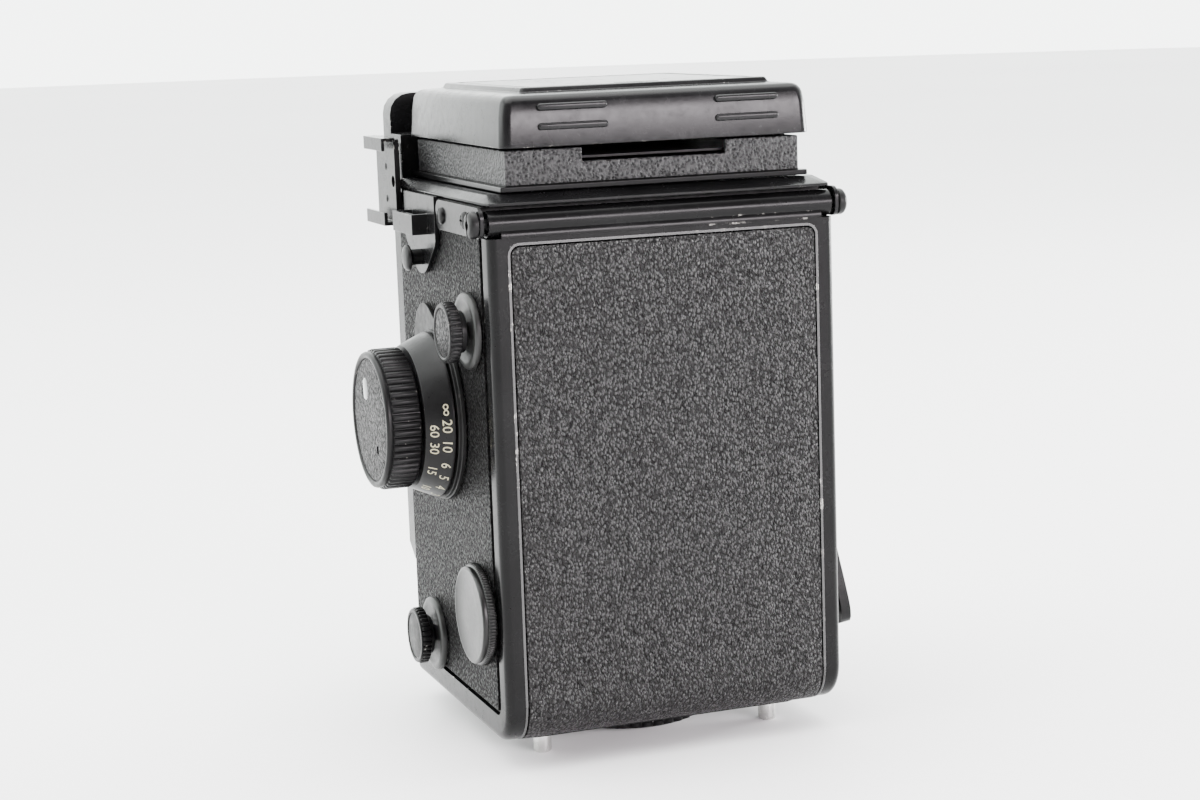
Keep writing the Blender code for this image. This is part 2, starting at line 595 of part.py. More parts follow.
def back_door():
    def corner(radius, steps=3):
        """Round the bottom rear corner, from the back to the underside."""
        turns = [math.pi / 2 * i / steps for i in range(steps + 1)]
        return [(CORNER[0] + radius * math.cos(t), CORNER[1] - radius * math.sin(t)) for t in turns]

    def section(inset):
        """The door's L, seen from the side: down the back and along under the body."""
        fillet = [(26.2 + 3.0 * math.sin(t), 15.0 - 3.0 * math.cos(t)) for t in (0.0, 0.52, 1.05, 1.57)]
        return [
            (29.2, 117.0), (BACK_Y - inset, 117.0), *corner(9.0 - inset, 6),
            (FRONT_Y + 0.3, DOOR_Z0 + inset), (FRONT_Y + 0.3, 12.0), *fillet,
        ]

    levels = ((-HALF_X, 1.2), (-HALF_X + 1.2, 0.0), (HALF_X - 1.2, 0.0), (HALF_X, 1.2))
    body = loft([[(x, y, z) for y, z in section(inset)] for x, inset in levels])
    inner = [(20.0, 119.0), (32.5, 119.0), *corner(7.5), (-34.6, 7.5), (-34.6, 20.0), (20.0, 20.0)]
    recess = [(38.0, 115.4), (33.3, 115.4), *corner(8.3), (25.0, 0.0), (38.0, 0.0)]
    piece(
        "back_door", "paint", body,
        ("cut", prism("x", inner, -37.4, 37.4)),
        ("cut", prism("x", recess, -35.3, 35.3)),
        ("add", turned("x", HINGE, [(2.9, -39.6), (2.9, 39.6)], 18)),
        ("add", prism("x", [(30.2, 116.4), (33.8, 116.4), (33.4, 119.0), (31.0, 119.6)], -37.0, 37.0)),
        ("cut", rod("x", HINGE, 1.55, -42.0, 42.0, 14)),
        ("cut", rod("z", (0.0, 0.0), 8.6, 0.0, 9.0, 24)),
        pivot=(0.0, *HINGE),
    )
    skin = [(34.2, 115.1), *corner(9.2), *reversed(corner(8.6)), (33.6, 115.1)]
    piece("back_leatherette", "leather", prism("x", skin, -35.0, 35.0), pivot=(0.0, *HINGE))
    plate = rounded(-33.0, 33.0, -24.5, 24.5, (3.0, 3.0, 3.0, 3.0), 3)
    feet = []
    for x in (-27.6, 27.6):
        for y in (-19.2, 19.2):
            feet.append(("add", turned("z", (x, y), [(1.7, 0.0), (2.1, 0.5), (2.1, 5.2)], 14)))
    piece(
        "base_plate", "steel", prism("z", plate, 4.9, 5.7), *feet,
        ("cut", rod("z", (0.0, 0.0), 12.0, 2.0, 8.0, 28)),
        ("cut", box(-4.6, 4.6, -26.0, 0.0, 2.0, 8.0)),
        pivot=(0.0, *HINGE),
    )
    bush = [(3.1, 1.4), (7.4, 1.4), (7.4, 4.6), (8.2, 4.6), (8.2, 6.6), (3.1, 6.6)]
    piece("tripod_socket", "steel", turned("z", (0.0, 0.0), bush, 24, ring=True), pivot=(0.0, *HINGE))
    piece(
        "lock_ring", "paint", prism("z", knurl((0.0, 0.0), 18.3, 17.4, 24), 1.2, 3.0),
        ("add", turned("z", (0.0, 0.0), [(11.4, 2.8), (11.4, 4.2)], 28)),
        ("cut", rod("z", (0.0, 0.0), 7.8, 0.0, 6.0, 28)),
        ("add", box(15.5, 21.0, -2.5, 2.5, 1.2, 3.0)),
        pivot=(0.0, 0.0, 3.0),
    )
    piece(
        "latch_bolt", "steel", box(-3.6, 3.6, -36.4, -13.0, 4.6, 5.6),
        pivot=(0.0, -24.0, 5.0),
    )
    piece("pressure_plate", "steel", box(-30.5, 30.5, 27.5, 28.3, 23.0, 77.0),
          ("add", box(-8.0, 8.0, 28.0, 30.6, 42.0, 58.0)),
          pivot=(0.0, 29.0, 50.0))


# ---- the folding hood ----

def hood():
    def ring(inset, z, extra=0.0):
        x, y0, y1 = 35.6 - inset, -38.8 + inset, 32.0 - inset - extra
        return [(u, v, z) for u, v in rounded(-x, x, y0, y1, (2.0, 2.0, 2.0, 2.0), 3)]

    shell = loft([ring(0.0, 135.6), ring(0.4, 142.0), ring(0.9, 145.2), ring(2.0, 146.6), ring(6.4, 146.8), ring(7.0, 148.0)])
    room = rounded(-33.9, 33.9, -37.4, 30.3, (1.0, 1.0, 1.0, 1.0), 2)
    pivot = (0.0, *LID_AXIS)
    steps = [("cut", prism("z", room, 130.0, 145.0))]
    for x0, x1 in ((11.6, 27.4), (-28.0, -13.2)):
        for z in (144.3, 139.9):
            steps.append(("add", box(x0, x1, 30.9, 32.2, z - 0.5, z + 0.5)))
    piece("hood_lid", "paint", shell, *steps, pivot=pivot)
    piece(
        "magnifier_frame", "paint", box(-17.0, 17.0, -34.0, 2.0, 142.9, 144.5),
        ("cut", rod("z", (0.0, -16.0), 13.0, 140.0, 146.0, 28)),
        pivot=pivot,
    )
    glass = [(0, 142.7), (8.0, 142.9), (12.6, 143.5), (12.6, 144.1), (0, 144.6)]
    piece("magnifier_lens", "glass", turned("z", (0.0, -16.0), glass, 24), pivot=pivot)
    x, z = SIDE_FLAP
    outline = [(x, -32.0), (x - 18.0, -32.0), (1.2, -24.0), (1.2, 0.5), (x - 4.0, 25.4), (x, 25.4)]
    for name, side in (("left_flap", 1), ("right_flap", -1)):
        shape = prism("z", outline, z - 0.3, z + 0.3)
        piece(name, "paint", shape if side > 0 else mirrored(shape), pivot=(side * x, 0.0, z))
    y, z = REAR_FLAP_AXIS
    piece("rear_flap", "paint", box(-29.0, 29.0, y - 44.0, y, z - 0.3, z + 0.3), pivot=(0.0, y, z))


def main():
    for obj in list(bpy.data.objects):
        bpy.data.objects.remove(obj, do_unlink=True)
    body_shell()
    side_leather()
    top_cap()
    meter_housing()
    finder_inside()
    hood_frame()
    shoe_and_lugs()
    side_fittings()
    focusing()
    lens_panel()
    film_transport()
    winding_crank()
    back_door()
    hood()


main()
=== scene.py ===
"""The looks of the twin lens reflex camera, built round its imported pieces.

Sizes are in millimetres from the tripod socket's axis, and SHIFT carries them to the
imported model's frame. Turned and ribbed pieces are made again here with more sides.
"""

import math

import bmesh
import bpy
from mathutils import Matrix, Vector


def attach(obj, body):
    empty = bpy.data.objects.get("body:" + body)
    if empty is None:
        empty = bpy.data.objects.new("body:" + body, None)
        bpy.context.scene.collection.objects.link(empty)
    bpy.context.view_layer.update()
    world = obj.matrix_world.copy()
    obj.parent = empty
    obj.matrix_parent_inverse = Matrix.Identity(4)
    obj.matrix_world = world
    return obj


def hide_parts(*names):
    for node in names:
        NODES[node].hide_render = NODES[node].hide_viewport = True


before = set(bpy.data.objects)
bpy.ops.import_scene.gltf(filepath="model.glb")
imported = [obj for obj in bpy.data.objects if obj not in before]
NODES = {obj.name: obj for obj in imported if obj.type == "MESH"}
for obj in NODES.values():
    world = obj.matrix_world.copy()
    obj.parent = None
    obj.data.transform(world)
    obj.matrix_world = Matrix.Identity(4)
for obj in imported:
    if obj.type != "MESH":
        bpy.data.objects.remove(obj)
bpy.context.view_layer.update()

MM = 0.001
SHIFT = Vector((-2.2, 17.0, 0.0))

FOCUS = (-5.0, 74.5)
TAKEUP = (20.0, 96.3)
SUPPLY = (-17.0, 20.3)
CRANK = (2.0, 62.0)
BATTERY = (19.8, 33.4)
HINGE = (31.0, 120.0)
COUNTER = (-22.0, 92.0)
LOWER_ROLLER = (24.4, 17.0)
UPPER_ROLLER = (24.4, 83.4)
TAKING_Z = 50.0
VIEWING_Z = 93.0
CRANK_LEAN = math.radians(9.04)
CRANK_TILT = math.radians(8.5)
CRANK_PIN_X = -45.2
HOOD_FLANGE_TOP = 0.1276  # metres: below it the hood's frame is smooth
LATHE_PITCH = 0.00024  # metres between a faced part's rings
SCALE_DISC_RADIUS = 19.2
SHAFT_BORE = 2.6

FLOOR_RADIUS = 6.0
SKY_STRENGTH = 6.0
SKY_AHEAD = (0.97, 1.0, 0.985, 1.0)
SKY_BEHIND = (0.10, 0.085, 0.092, 1.0)


# ---- shapes: each is (points, faces), in millimetres ----

def loft(sections, closed=False):
    count = len(sections[0])
    points = [p for section in sections for p in section]
    total = len(sections)
    faces = [] if closed else [tuple(range(count - 1, -1, -1))]
    for k in range(total if closed else total - 1):
        low, high = k * count, ((k + 1) % total) * count
        for i in range(count):
            j = (i + 1) % count
            faces.append((low + i, low + j, high + j, high + i))
    if not closed:
        faces.append(tuple(range((total - 1) * count, total * count)))
    return points, faces


def place(axis, along, u, v):
    if axis == "x":
        return (along, u, v)
    if axis == "y":
        return (u, along, v)
    return (u, v, along)


def prism(axis, outline, a, b):
    return loft([[place(axis, t, u, v) for u, v in outline] for t in (a, b)])


def box(x0, x1, y0, y1, z0, z1):
    return prism("z", [(x0, y0), (x1, y0), (x1, y1), (x0, y1)], z0, z1)


def circle(centre, radius, count, start=0.0, end=None):
    if end is None:
        angles = [start + 2 * math.pi * i / count for i in range(count)]
    else:
        angles = [start + (end - start) * i / count for i in range(count + 1)]
    return [(centre[0] + radius * math.cos(t), centre[1] + radius * math.sin(t)) for t in angles]


def rod(axis, centre, radius, a, b, count=48):
    return prism(axis, circle(centre, radius, count), a, b)


def rounded(u0, u1, v0, v1, r, steps=6):
    outline = []
    corners = (
        (u0, v0, 1, 1, math.pi), (u1, v0, -1, 1, 1.5 * math.pi), (u1, v1, -1, -1, 0.0),
        (u0, v1, 1, -1, 0.5 * math.pi),
    )
    for u, v, du, dv, start in corners:
        outline += circle((u + du * r, v + dv * r), r, steps, start, start + math.pi / 2)
    return outline


def turned(axis, centre, profile, count=72, ring=False):
    """A profile of (radius, along) turned about an axis."""
    sections = []
    for radius, along in profile:
        sections.append([place(axis, along, u, v) for u, v in circle(centre, max(radius, 0.01), count)])
    return loft(sections, ring)


def ribbed(axis, centre, levels, ribs):
    """Like turned, with ribs: each level is (along, radius on a rib, radius between ribs)."""
    share = (0.0, 0.75, 1.0, 1.0, 0.75, 0.0)
    sections = []
    for along, outer, inner in levels:
        section = []
        for i in range(ribs * 6):
            r = inner + (outer - inner) * share[i % 6]
            t = 2 * math.pi * (i + 0.35 * (i % 6 > 2)) / (ribs * 6)
            section.append(place(axis, along, centre[0] + r * math.cos(t), centre[1] + r * math.sin(t)))
        sections.append(section)
    return loft(sections)


def moved(shape, matrix):
    points, faces = shape
    return [tuple(matrix @ Vector(p)) for p in points], faces


def mirrored(shape):
    points, faces = shape
    return [(-x, y, z) for x, y, z in points], [tuple(reversed(f)) for f in faces]


# ---- objects ----

def to_mesh(name, shape):
    points, faces = shape
    data = bpy.data.meshes.new(name)
    data.from_pydata([(Vector(p) + SHIFT) * MM for p in points], [], faces)
    bm = bmesh.new()
    bm.from_mesh(data)
    bmesh.ops.recalc_face_normals(bm, faces=bm.faces)
    bm.to_mesh(data)
    bm.free()
    return data


def combined(name, shape, steps):
    """The shape with others added to it or cut from it, as one mesh."""
    obj = bpy.data.objects.new(name, to_mesh(name, shape))
    bpy.context.scene.collection.objects.link(obj)
    tools = []
    for action, tool_shape in steps:
        tool = bpy.data.objects.new("tool", to_mesh("tool", tool_shape))
        bpy.context.scene.collection.objects.link(tool)
        modifier = obj.modifiers.new(action, "BOOLEAN")
        modifier.operation = {"add": "UNION", "cut": "DIFFERENCE", "keep": "INTERSECT"}[action]
        modifier.solver = "EXACT"
        modifier.object = tool
        tools.append(tool)
    graph = bpy.context.evaluated_depsgraph_get()
    data = bpy.data.meshes.new_from_object(obj.evaluated_get(graph))
    for other in [obj, *tools]:
        bpy.data.objects.remove(other, do_unlink=True)
    data.name = name
    return data


def add_text(points, faces, text, size, laid, resolution, middle=False):
    """Adds a text's flat shape to points and faces, each point put in place by laid(u, v)."""
    curve = bpy.data.curves.new("text", "FONT")
    curve.body = text
    curve.size = size
    curve.align_x = "CENTER"
    if middle:
        curve.align_y = "CENTER"
    curve.resolution_u = resolution
    holder = bpy.data.objects.new("text", curve)
    bpy.context.scene.collection.objects.link(holder)
    bpy.context.view_layer.update()
    mesh = holder.to_mesh()
    first = len(points)
    points.extend(laid(v.co.x, v.co.y) for v in mesh.vertices)
    faces.extend(tuple(first + i for i in polygon.vertices) for polygon in mesh.polygons)
    holder.to_mesh_clear()
    bpy.data.objects.remove(holder, do_unlink=True)


def soften(obj, width, segments=2, angle=35.0):
    if width <= 0:
        return
    bevel = obj.modifiers.new("edge", "BEVEL")
    bevel.width = width * MM
    bevel.segments = segments
    bevel.limit_method = "ANGLE"
    bevel.angle_limit = math.radians(angle)
    bevel.harden_normals = True
    bevel.miter_outer = "MITER_ARC"


def piece(name, body, slot, material, shape, *steps, stands=(), edge=0.0, segments=2, smooth=35.0):
    """A visible piece that rides on a body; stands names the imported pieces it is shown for."""
    data = combined(name, shape, steps) if steps else to_mesh(name, shape)
    data.materials.clear()
    data.materials.append(material)
    data.shade_smooth()
    if edge <= 0:
        data.set_sharp_from_angle(angle=math.radians(smooth))
    obj = bpy.data.objects.new(name, data)
    bpy.context.scene.collection.objects.link(obj)
    soften(obj, edge, segments)
    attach(obj, body)
    if stands:
        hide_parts(*([stands] if isinstance(stands, str) else stands))
    return obj


def dress(node, material, edge=0.0, segments=2):
    """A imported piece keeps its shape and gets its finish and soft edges."""
    obj = NODES[node]
    for slot in obj.material_slots:
        slot.material = material
    if "custom_normal" in obj.data.attributes:
        obj.data.attributes.remove(obj.data.attributes["custom_normal"])
    obj.data.shade_smooth()
    weld = obj.modifiers.new("weld", "WELD")
    weld.merge_threshold = 1e-6
    if edge > 0:
        flat = obj.modifiers.new("flat", "DECIMATE")
        flat.decimate_type = "DISSOLVE"
        flat.angle_limit = math.radians(0.4)
        soften(obj, edge, segments)
    else:
        split = obj.modifiers.new("split", "EDGE_SPLIT")
        split.split_angle = math.radians(35)


# ---- materials ----

class Tree:
    """A material's nodes, with short names for the ones used here."""

    def __init__(self, name):
        self.material = bpy.data.materials.new(name)
        self.material.use_nodes = True
        self.nodes = self.material.node_tree.nodes
        self.links = self.material.node_tree.links
        self.shader = self.nodes["Principled BSDF"]
        self.where = self.nodes.new("ShaderNodeTexCoord").outputs["Object"]

    def put(self, socket, value):
        if isinstance(value, bpy.types.NodeSocket):
            self.links.new(value, socket)
        elif isinstance(value, (tuple, list)) and len(value) == 3 and socket.type == "RGBA":
            socket.default_value = (*value, 1.0)
        else:
            socket.default_value = value

    def fixed(self, **settings):
        for key, value in settings.items():
            self.put(self.shader.inputs[key.replace("_", " ")], value)

    def node(self, kind, **inputs):
        """A new node, with each input set or linked; an underscore stands for a space."""
        node = self.nodes.new("ShaderNode" + kind)
        for key, value in inputs.items():
            self.put(node.inputs[key.replace("_", " ")], value)
        return node

    def noise(self, scale, detail=2.0, roughness=0.5, where=None):
        where = where or self.where
        node = self.node("TexNoise", Vector=where, Scale=scale, Detail=detail, Roughness=roughness)
        return node.outputs["Fac"]

    def cells(self, scale, feature="F1", where=None, smooth=None):
        node = self.nodes.new("ShaderNodeTexVoronoi")
        node.feature = feature
        self.put(node.inputs["Vector"], where or self.where)
        self.put(node.inputs["Scale"], scale)
        if smooth is not None:
            self.put(node.inputs["Smoothness"], smooth)
        return node.outputs["Distance"]

    def maths(self, operation, a, b=0.0):
        node = self.nodes.new("ShaderNodeMath")
        node.operation = operation
        self.put(node.inputs[0], a)
        self.put(node.inputs[1], b)
        return node.outputs[0]

    def vectors(self, operation, a, b):
        node = self.nodes.new("ShaderNodeVectorMath")
        node.operation = operation
        self.put(node.inputs[0], a)
        self.put(node.inputs["Scale"] if operation == "SCALE" else node.inputs[1], b)
        return node.outputs["Value" if operation == "DOT_PRODUCT" else "Vector"]

    def ranged(self, value, a, b, low=0.0, high=1.0, smooth=False):
        node = self.node("MapRange", Value=value, From_Min=a, From_Max=b, To_Min=low, To_Max=high)
        node.clamp = True
        if smooth:
            node.interpolation_type = "SMOOTHSTEP"
        return node.outputs["Result"]

    def blend(self, share, a, b):
        node = self.nodes.new("ShaderNodeMix")
        node.data_type = "RGBA"
        self.put(node.inputs["Factor"], share)
        self.put(node.inputs[6], a)
        self.put(node.inputs[7], b)
        return node.outputs[2]

    def shifted(self, amount, scale):
        """The coordinate pushed about by a coarse noise, which bends cells into wrinkles."""
        push = self.node("TexNoise", Vector=self.where, Scale=scale, Detail=1.0).outputs["Color"]
        push = self.vectors("SUBTRACT", push, (0.5, 0.5, 0.5))
        return self.vectors("ADD", self.where, self.vectors("SCALE", push, amount))

    def bump(self, height, strength, distance):
        node = self.node("Bump", Height=height, Strength=strength, Distance=distance * MM)
        self.links.new(node.outputs[0], self.shader.inputs["Normal"])

    def axis_value(self, axis):
        return self.node("SeparateXYZ", Vector=self.where).outputs[axis]

    def edges(self, radius):
        """How far a point is on an edge, from 0 on a flat to about 0.3 on a square corner."""
        soft = self.node("Bevel", Radius=radius * MM)
        soft.samples = 4
        here = self.nodes.new("ShaderNodeNewGeometry").outputs["Normal"]
        return self.maths("SUBTRACT", 1.0, self.vectors("DOT_PRODUCT", soft.outputs[0], here))


def enamel(name, colour, rough=0.2, wear=0.5, peel=0.05, metal=(0.62, 0.6, 0.56), shine=0.12):
    """Stoved black paint: gloss with a little orange peel, and bare metal on rubbed edges."""
    t = Tree(name)
    cloud = t.noise(60.0, 3.0)
    scuff = t.noise(420.0, 6.0, 0.7)
    shade = t.blend(t.ranged(cloud, 0.35, 0.65), colour, tuple(c * 1.6 + 0.0005 for c in colour))
    gloss = t.maths(
        "ADD", t.ranged(scuff, 0.3, 0.75, rough * 0.8, rough * 1.5), t.ranged(cloud, 0.4, 0.7, 0.0, 0.05),
    )
    if wear > 0:
        edge = t.edges(0.45)
        spots = t.ranged(t.noise(520.0, 4.0, 0.6), 0.66 - 0.09 * wear, 0.70 - 0.08 * wear)
        patch = t.ranged(t.noise(45.0, 2.0), 0.5, 0.62)
        chips = t.maths("MULTIPLY", t.ranged(edge, 0.03, 0.08), t.maths("MULTIPLY", spots, patch))
        t.fixed(Base_Color=t.blend(chips, shade, metal), Metallic=chips)
        gloss = t.maths("ADD", gloss, t.maths("MULTIPLY", chips, 0.15))
    else:
        t.fixed(Base_Color=shade)
    t.fixed(Roughness=gloss, Specular_IOR_Level=shine)
    t.bump(t.maths("ADD", t.noise(300.0, 2.0), t.maths("MULTIPLY", t.noise(1500.0, 1.0), 0.2)), peel, 0.3)
    return t.material


def leather(
    name, scale=1700.0, low=(0.0024, 0.0021, 0.0023), high=(0.0082, 0.0068, 0.0077), depth=0.8, shine=0.5,
):
    """Pressed leatherette: rounded pebbles run together into short upright wrinkles."""
    t = Tree(name)
    bent = t.shifted(0.00055, 900.0)
    tall = t.nodes.new("ShaderNodeMapping")
    t.put(tall.inputs["Vector"], bent)
    tall.inputs["Scale"].default_value = (1.0, 1.0, 0.72)
    tall = tall.outputs[0]
    pebble = t.cells(scale, "SMOOTH_F1", tall, 0.3)
    crease = t.ranged(t.cells(scale * 0.8, "DISTANCE_TO_EDGE", tall), 0.0, 0.13)
    grain = t.noise(3400.0, 3.0, 0.6)
    top = t.maths("SUBTRACT", 1.0, t.ranged(pebble, 0.1, 0.7, smooth=True))
    height = t.maths("ADD", t.maths("MULTIPLY", top, 0.6), t.maths("MULTIPLY", crease, 0.4))
    height = t.maths("ADD", height, t.maths("MULTIPLY", grain, 0.18))
    tone = t.ranged(t.noise(28.0, 3.0), 0.35, 0.7, 0.85, 1.1)
    # Painted shade in the grooves: where the height is low the base colour darkens and the specular level
    # drops, standing in for the shade that falls in the creases.
    share = t.maths("MULTIPLY", t.ranged(height, 0.2, 1.15, smooth=True), tone)
    t.fixed(
        Base_Color=t.blend(share, low, high),
        Roughness=t.ranged(height, 0.2, 1.0, 0.6, 0.32),
        Specular_IOR_Level=t.ranged(height, 0.25, 1.0, 0.2 * shine, shine),
    )
    t.bump(height, 1.0, depth)
    return t.material


def wrinkle(name, colour=(0.0045, 0.0045, 0.0047), split_z=None):
    """Crackle paint; below split_z the same piece is smooth gloss."""
    t = Tree(name)
    bent = t.shifted(0.0006, 1100.0)
    height = t.maths(
        "ADD", t.cells(1350.0, "SMOOTH_F1", bent, 0.4), t.maths("MULTIPLY", t.noise(3200.0, 2.0), 0.4),
    )
    # Painted highlight and shade: the raised ridges get a colour three times lighter, the hollows keep the
    # dark colour, and the specular level drops in the hollows.
    light = tuple(c * 3.0 + 0.004 for c in colour)
    share = t.ranged(height, 0.25, 0.85)
    rough = t.ranged(height, 0.2, 0.9, 0.38, 0.6)
    if split_z is not None:
        upper = t.ranged(t.axis_value("Z"), split_z, split_z + 0.0001)
        share = t.maths("MULTIPLY", share, upper)
        rough = t.ranged(upper, 0.0, 1.0, 0.2, rough)
        height = t.maths("MULTIPLY", height, upper)
    t.fixed(
        Base_Color=t.blend(share, colour, light), Roughness=rough,
        Specular_IOR_Level=t.ranged(height, 0.2, 0.9, 0.08, 0.5),
    )
    t.bump(height, 1.0, 0.55)
    return t.material


def metal(name, colour, rough=0.3, brushed=None, metallic=1.0, grime=0.4):
    """Bare or anodised metal, turned or brushed along one axis, with a little dirt."""
    t = Tree(name)
    stretch = t.nodes.new("ShaderNodeMapping")
    t.put(stretch.inputs["Vector"], t.where)
    scale = {"x": (0.05, 1, 1), "y": (1, 0.05, 1), "z": (1, 1, 0.05)}.get(brushed, (1, 1, 1))
    stretch.inputs["Scale"].default_value = scale
    lines = t.noise(2600.0, 4.0, 0.6, stretch.outputs[0])
    dirt = t.ranged(t.noise(180.0, 4.0, 0.6), 0.45, 0.75)
    dark = tuple(c * (1 - grime) for c in colour)
    t.fixed(
        Base_Color=t.blend(dirt, colour, dark),
        Roughness=t.maths(
            "ADD", t.ranged(lines, 0.3, 0.7, rough * 0.8, rough * 1.25), t.maths("MULTIPLY", dirt, 0.12),
        ),
        Metallic=metallic,
    )
    t.bump(lines, 0.25, 0.04)
    return t.material


def spun(name, colour, centre, rough=0.35, metallic=0.6, axis="x"):
    """Satin metal faced on a lathe: fine rings about an axis."""
    t = Tree(name)
    u = t.axis_value({"x": "Y", "y": "X", "z": "X"}[axis])
    v = t.axis_value({"x": "Z", "y": "Z", "z": "Y"}[axis])
    du = t.maths("SUBTRACT", u, centre[0] * MM)
    dv = t.maths("SUBTRACT", v, centre[1] * MM)
    r = t.maths("SQRT", t.maths("ADD", t.maths("MULTIPLY", du, du), t.maths("MULTIPLY", dv, dv)))
    rings = t.maths("SINE", t.maths("MULTIPLY", r, 2 * math.pi / LATHE_PITCH))
    rings = t.maths("ADD", t.maths("MULTIPLY", rings, 0.35), t.noise(900.0, 3.0))
    dirt = t.ranged(t.noise(140.0, 4.0, 0.6), 0.45, 0.75)
    t.fixed(
        Base_Color=t.blend(dirt, colour, tuple(c * 0.7 for c in colour)),
        Roughness=t.ranged(rings, 0.1, 1.0, rough * 0.85, rough * 1.2),
        Metallic=metallic,
    )
    t.bump(rings, 0.18, 0.03)
    return t.material


def plastic(name, colour, rough=0.4, peel=0.1):
    t = Tree(name)
    cloud = t.noise(90.0, 3.0)
    t.fixed(
        Base_Color=t.blend(t.ranged(cloud, 0.3, 0.7), colour, tuple(c * 1.35 for c in colour)),
        Roughness=t.ranged(t.noise(700.0, 3.0), 0.3, 0.7, rough * 0.85, rough * 1.2), Specular_IOR_Level=0.3,
    )
    t.bump(t.noise(1800.0, 2.0), peel, 0.06)
    return t.material


def glass(name, colour, rough=0.03, coat=(0.35, 0.25, 0.75), clear=0.0, shine=0.8):
    """A polished, coated glass; clear is how much light goes through."""
    t = Tree(name)
    smear = t.ranged(t.noise(70.0, 4.0, 0.6), 0.45, 0.8, rough, rough + 0.06)
    tone = t.ranged(t.noise(30.0, 1.0), 0.3, 0.7)
    t.fixed(
        Base_Color=t.blend(tone, colour, tuple(min(1.0, c * 1.25) for c in colour)),
        Roughness=smear, IOR=1.4, Coat_Weight=shine, Coat_Roughness=0.02,
        Transmission_Weight=clear,
    )
    t.put(t.shader.inputs["Coat Tint"], coat)
    return t.material


def ground_glass(name):
    """The focusing screen: finely ground, with ruled lines every 10 mm."""
    t = Tree(name)
    lines = None
    for axis, middle in (("X", SHIFT.x), ("Y", -5.0 + SHIFT.y)):
        across = t.maths("SUBTRACT", t.axis_value(axis), middle * MM)
        near = t.maths(
            "ABSOLUTE",
            t.maths(
                "SUBTRACT", t.maths("FRACT", t.maths("ADD", t.maths("MULTIPLY", across, 100.0), 0.5)),
                0.5,
            ),
        )
        mark = t.ranged(near, 0.012, 0.02, 1.0, 0.0)
        lines = mark if lines is None else t.maths("MAXIMUM", lines, mark)
    speck = t.noise(2400.0, 2.0)
    t.fixed(
        Base_Color=t.blend(
            lines, t.blend(t.ranged(speck, 0.3, 0.7), (0.42, 0.46, 0.45), (0.52, 0.55, 0.53)),
            (0.05, 0.02, 0.02),
        ),
        Roughness=t.ranged(speck, 0.3, 0.7, 0.35, 0.5),
    )
    t.bump(speck, 0.3, 0.03)
    return t.material


def paper(name, colour):
    t = Tree(name)
    fleck = t.noise(900.0, 3.0)
    t.fixed(
        Base_Color=t.blend(t.ranged(fleck, 0.35, 0.65), tuple(c * 0.8 for c in colour), colour),
        Roughness=t.ranged(fleck, 0.3, 0.7, 0.45, 0.6),
    )
    return t.material


BLACK = (0.003, 0.003, 0.0032)
PAINT = enamel("black_paint", BLACK, 0.2, 0.5)
DOOR = enamel("door_paint", (0.002, 0.002, 0.0021), 0.2, 1.0, shine=0.1)
BEAD = enamel("bead_paint", BLACK, 0.24, 1.0, shine=0.7)
LID = enamel("lid_paint", (0.0034, 0.0034, 0.0036), 0.2, 0.55, shine=0.15)
SATIN = enamel("satin_black", (0.003, 0.003, 0.0031), 0.3, 0.25, shine=0.12)
SATIN_CLEAN = enamel("satin_black_clean", (0.0035, 0.0035, 0.0037), 0.38, 0.0, shine=0.12)
GREY = enamel("grey_black", (0.005, 0.0051, 0.005), 0.4, 0.3, shine=0.15)
LEATHER = leather("leatherette")
# A copy of the leatherette for the sides with a greener high colour and little shine: the green tint is
# painted reflection of the light the sides catch.
SIDE_LEATHER = leather("side_leatherette", high=(0.008, 0.0083, 0.0081), depth=0.3, shine=0.07)
KNOB_LEATHER = leather("knob_leatherette", 1500.0, depth=0.3, shine=0.3)
WRINKLE = wrinkle("hood_wrinkle", split_z=HOOD_FLANGE_TOP)
MATTE = plastic("matte_black", (0.003, 0.003, 0.003), 0.7, 0.3)
CASTING = plastic("casting_black", (0.007, 0.007, 0.007), 0.55, 0.5)
STEEL = metal("bright_steel", (0.62, 0.62, 0.6), 0.24, "z")
STEEL_X = metal("turned_steel", (0.6, 0.6, 0.58), 0.26, "x")
BRASS = metal("brass", (0.6, 0.42, 0.16), 0.3)
SPOOL = plastic("spool_plastic", (0.008, 0.008, 0.0085), 0.35)
IVORY = paper("ivory_print", (0.78, 0.74, 0.6))
MARKS = paper("scale_print", (0.36, 0.335, 0.22))
DARK_PRINT = paper("dark_print", (0.03, 0.03, 0.03))
LENS = glass("lens_glass", (0.002, 0.002, 0.005), coat=(0.45, 0.3, 0.95), shine=0.15)
CLEAR = glass("clear_glass", (0.9, 0.95, 0.93), coat=(1.0, 1.0, 1.0), clear=0.92)
WINDOW = glass("window_glass", (0.06, 0.065, 0.065), coat=(1.0, 1.0, 1.0))
MIRROR = metal("mirror", (0.86, 0.87, 0.88), 0.04, grime=0.05)
SCREEN = ground_glass("focusing_screen")


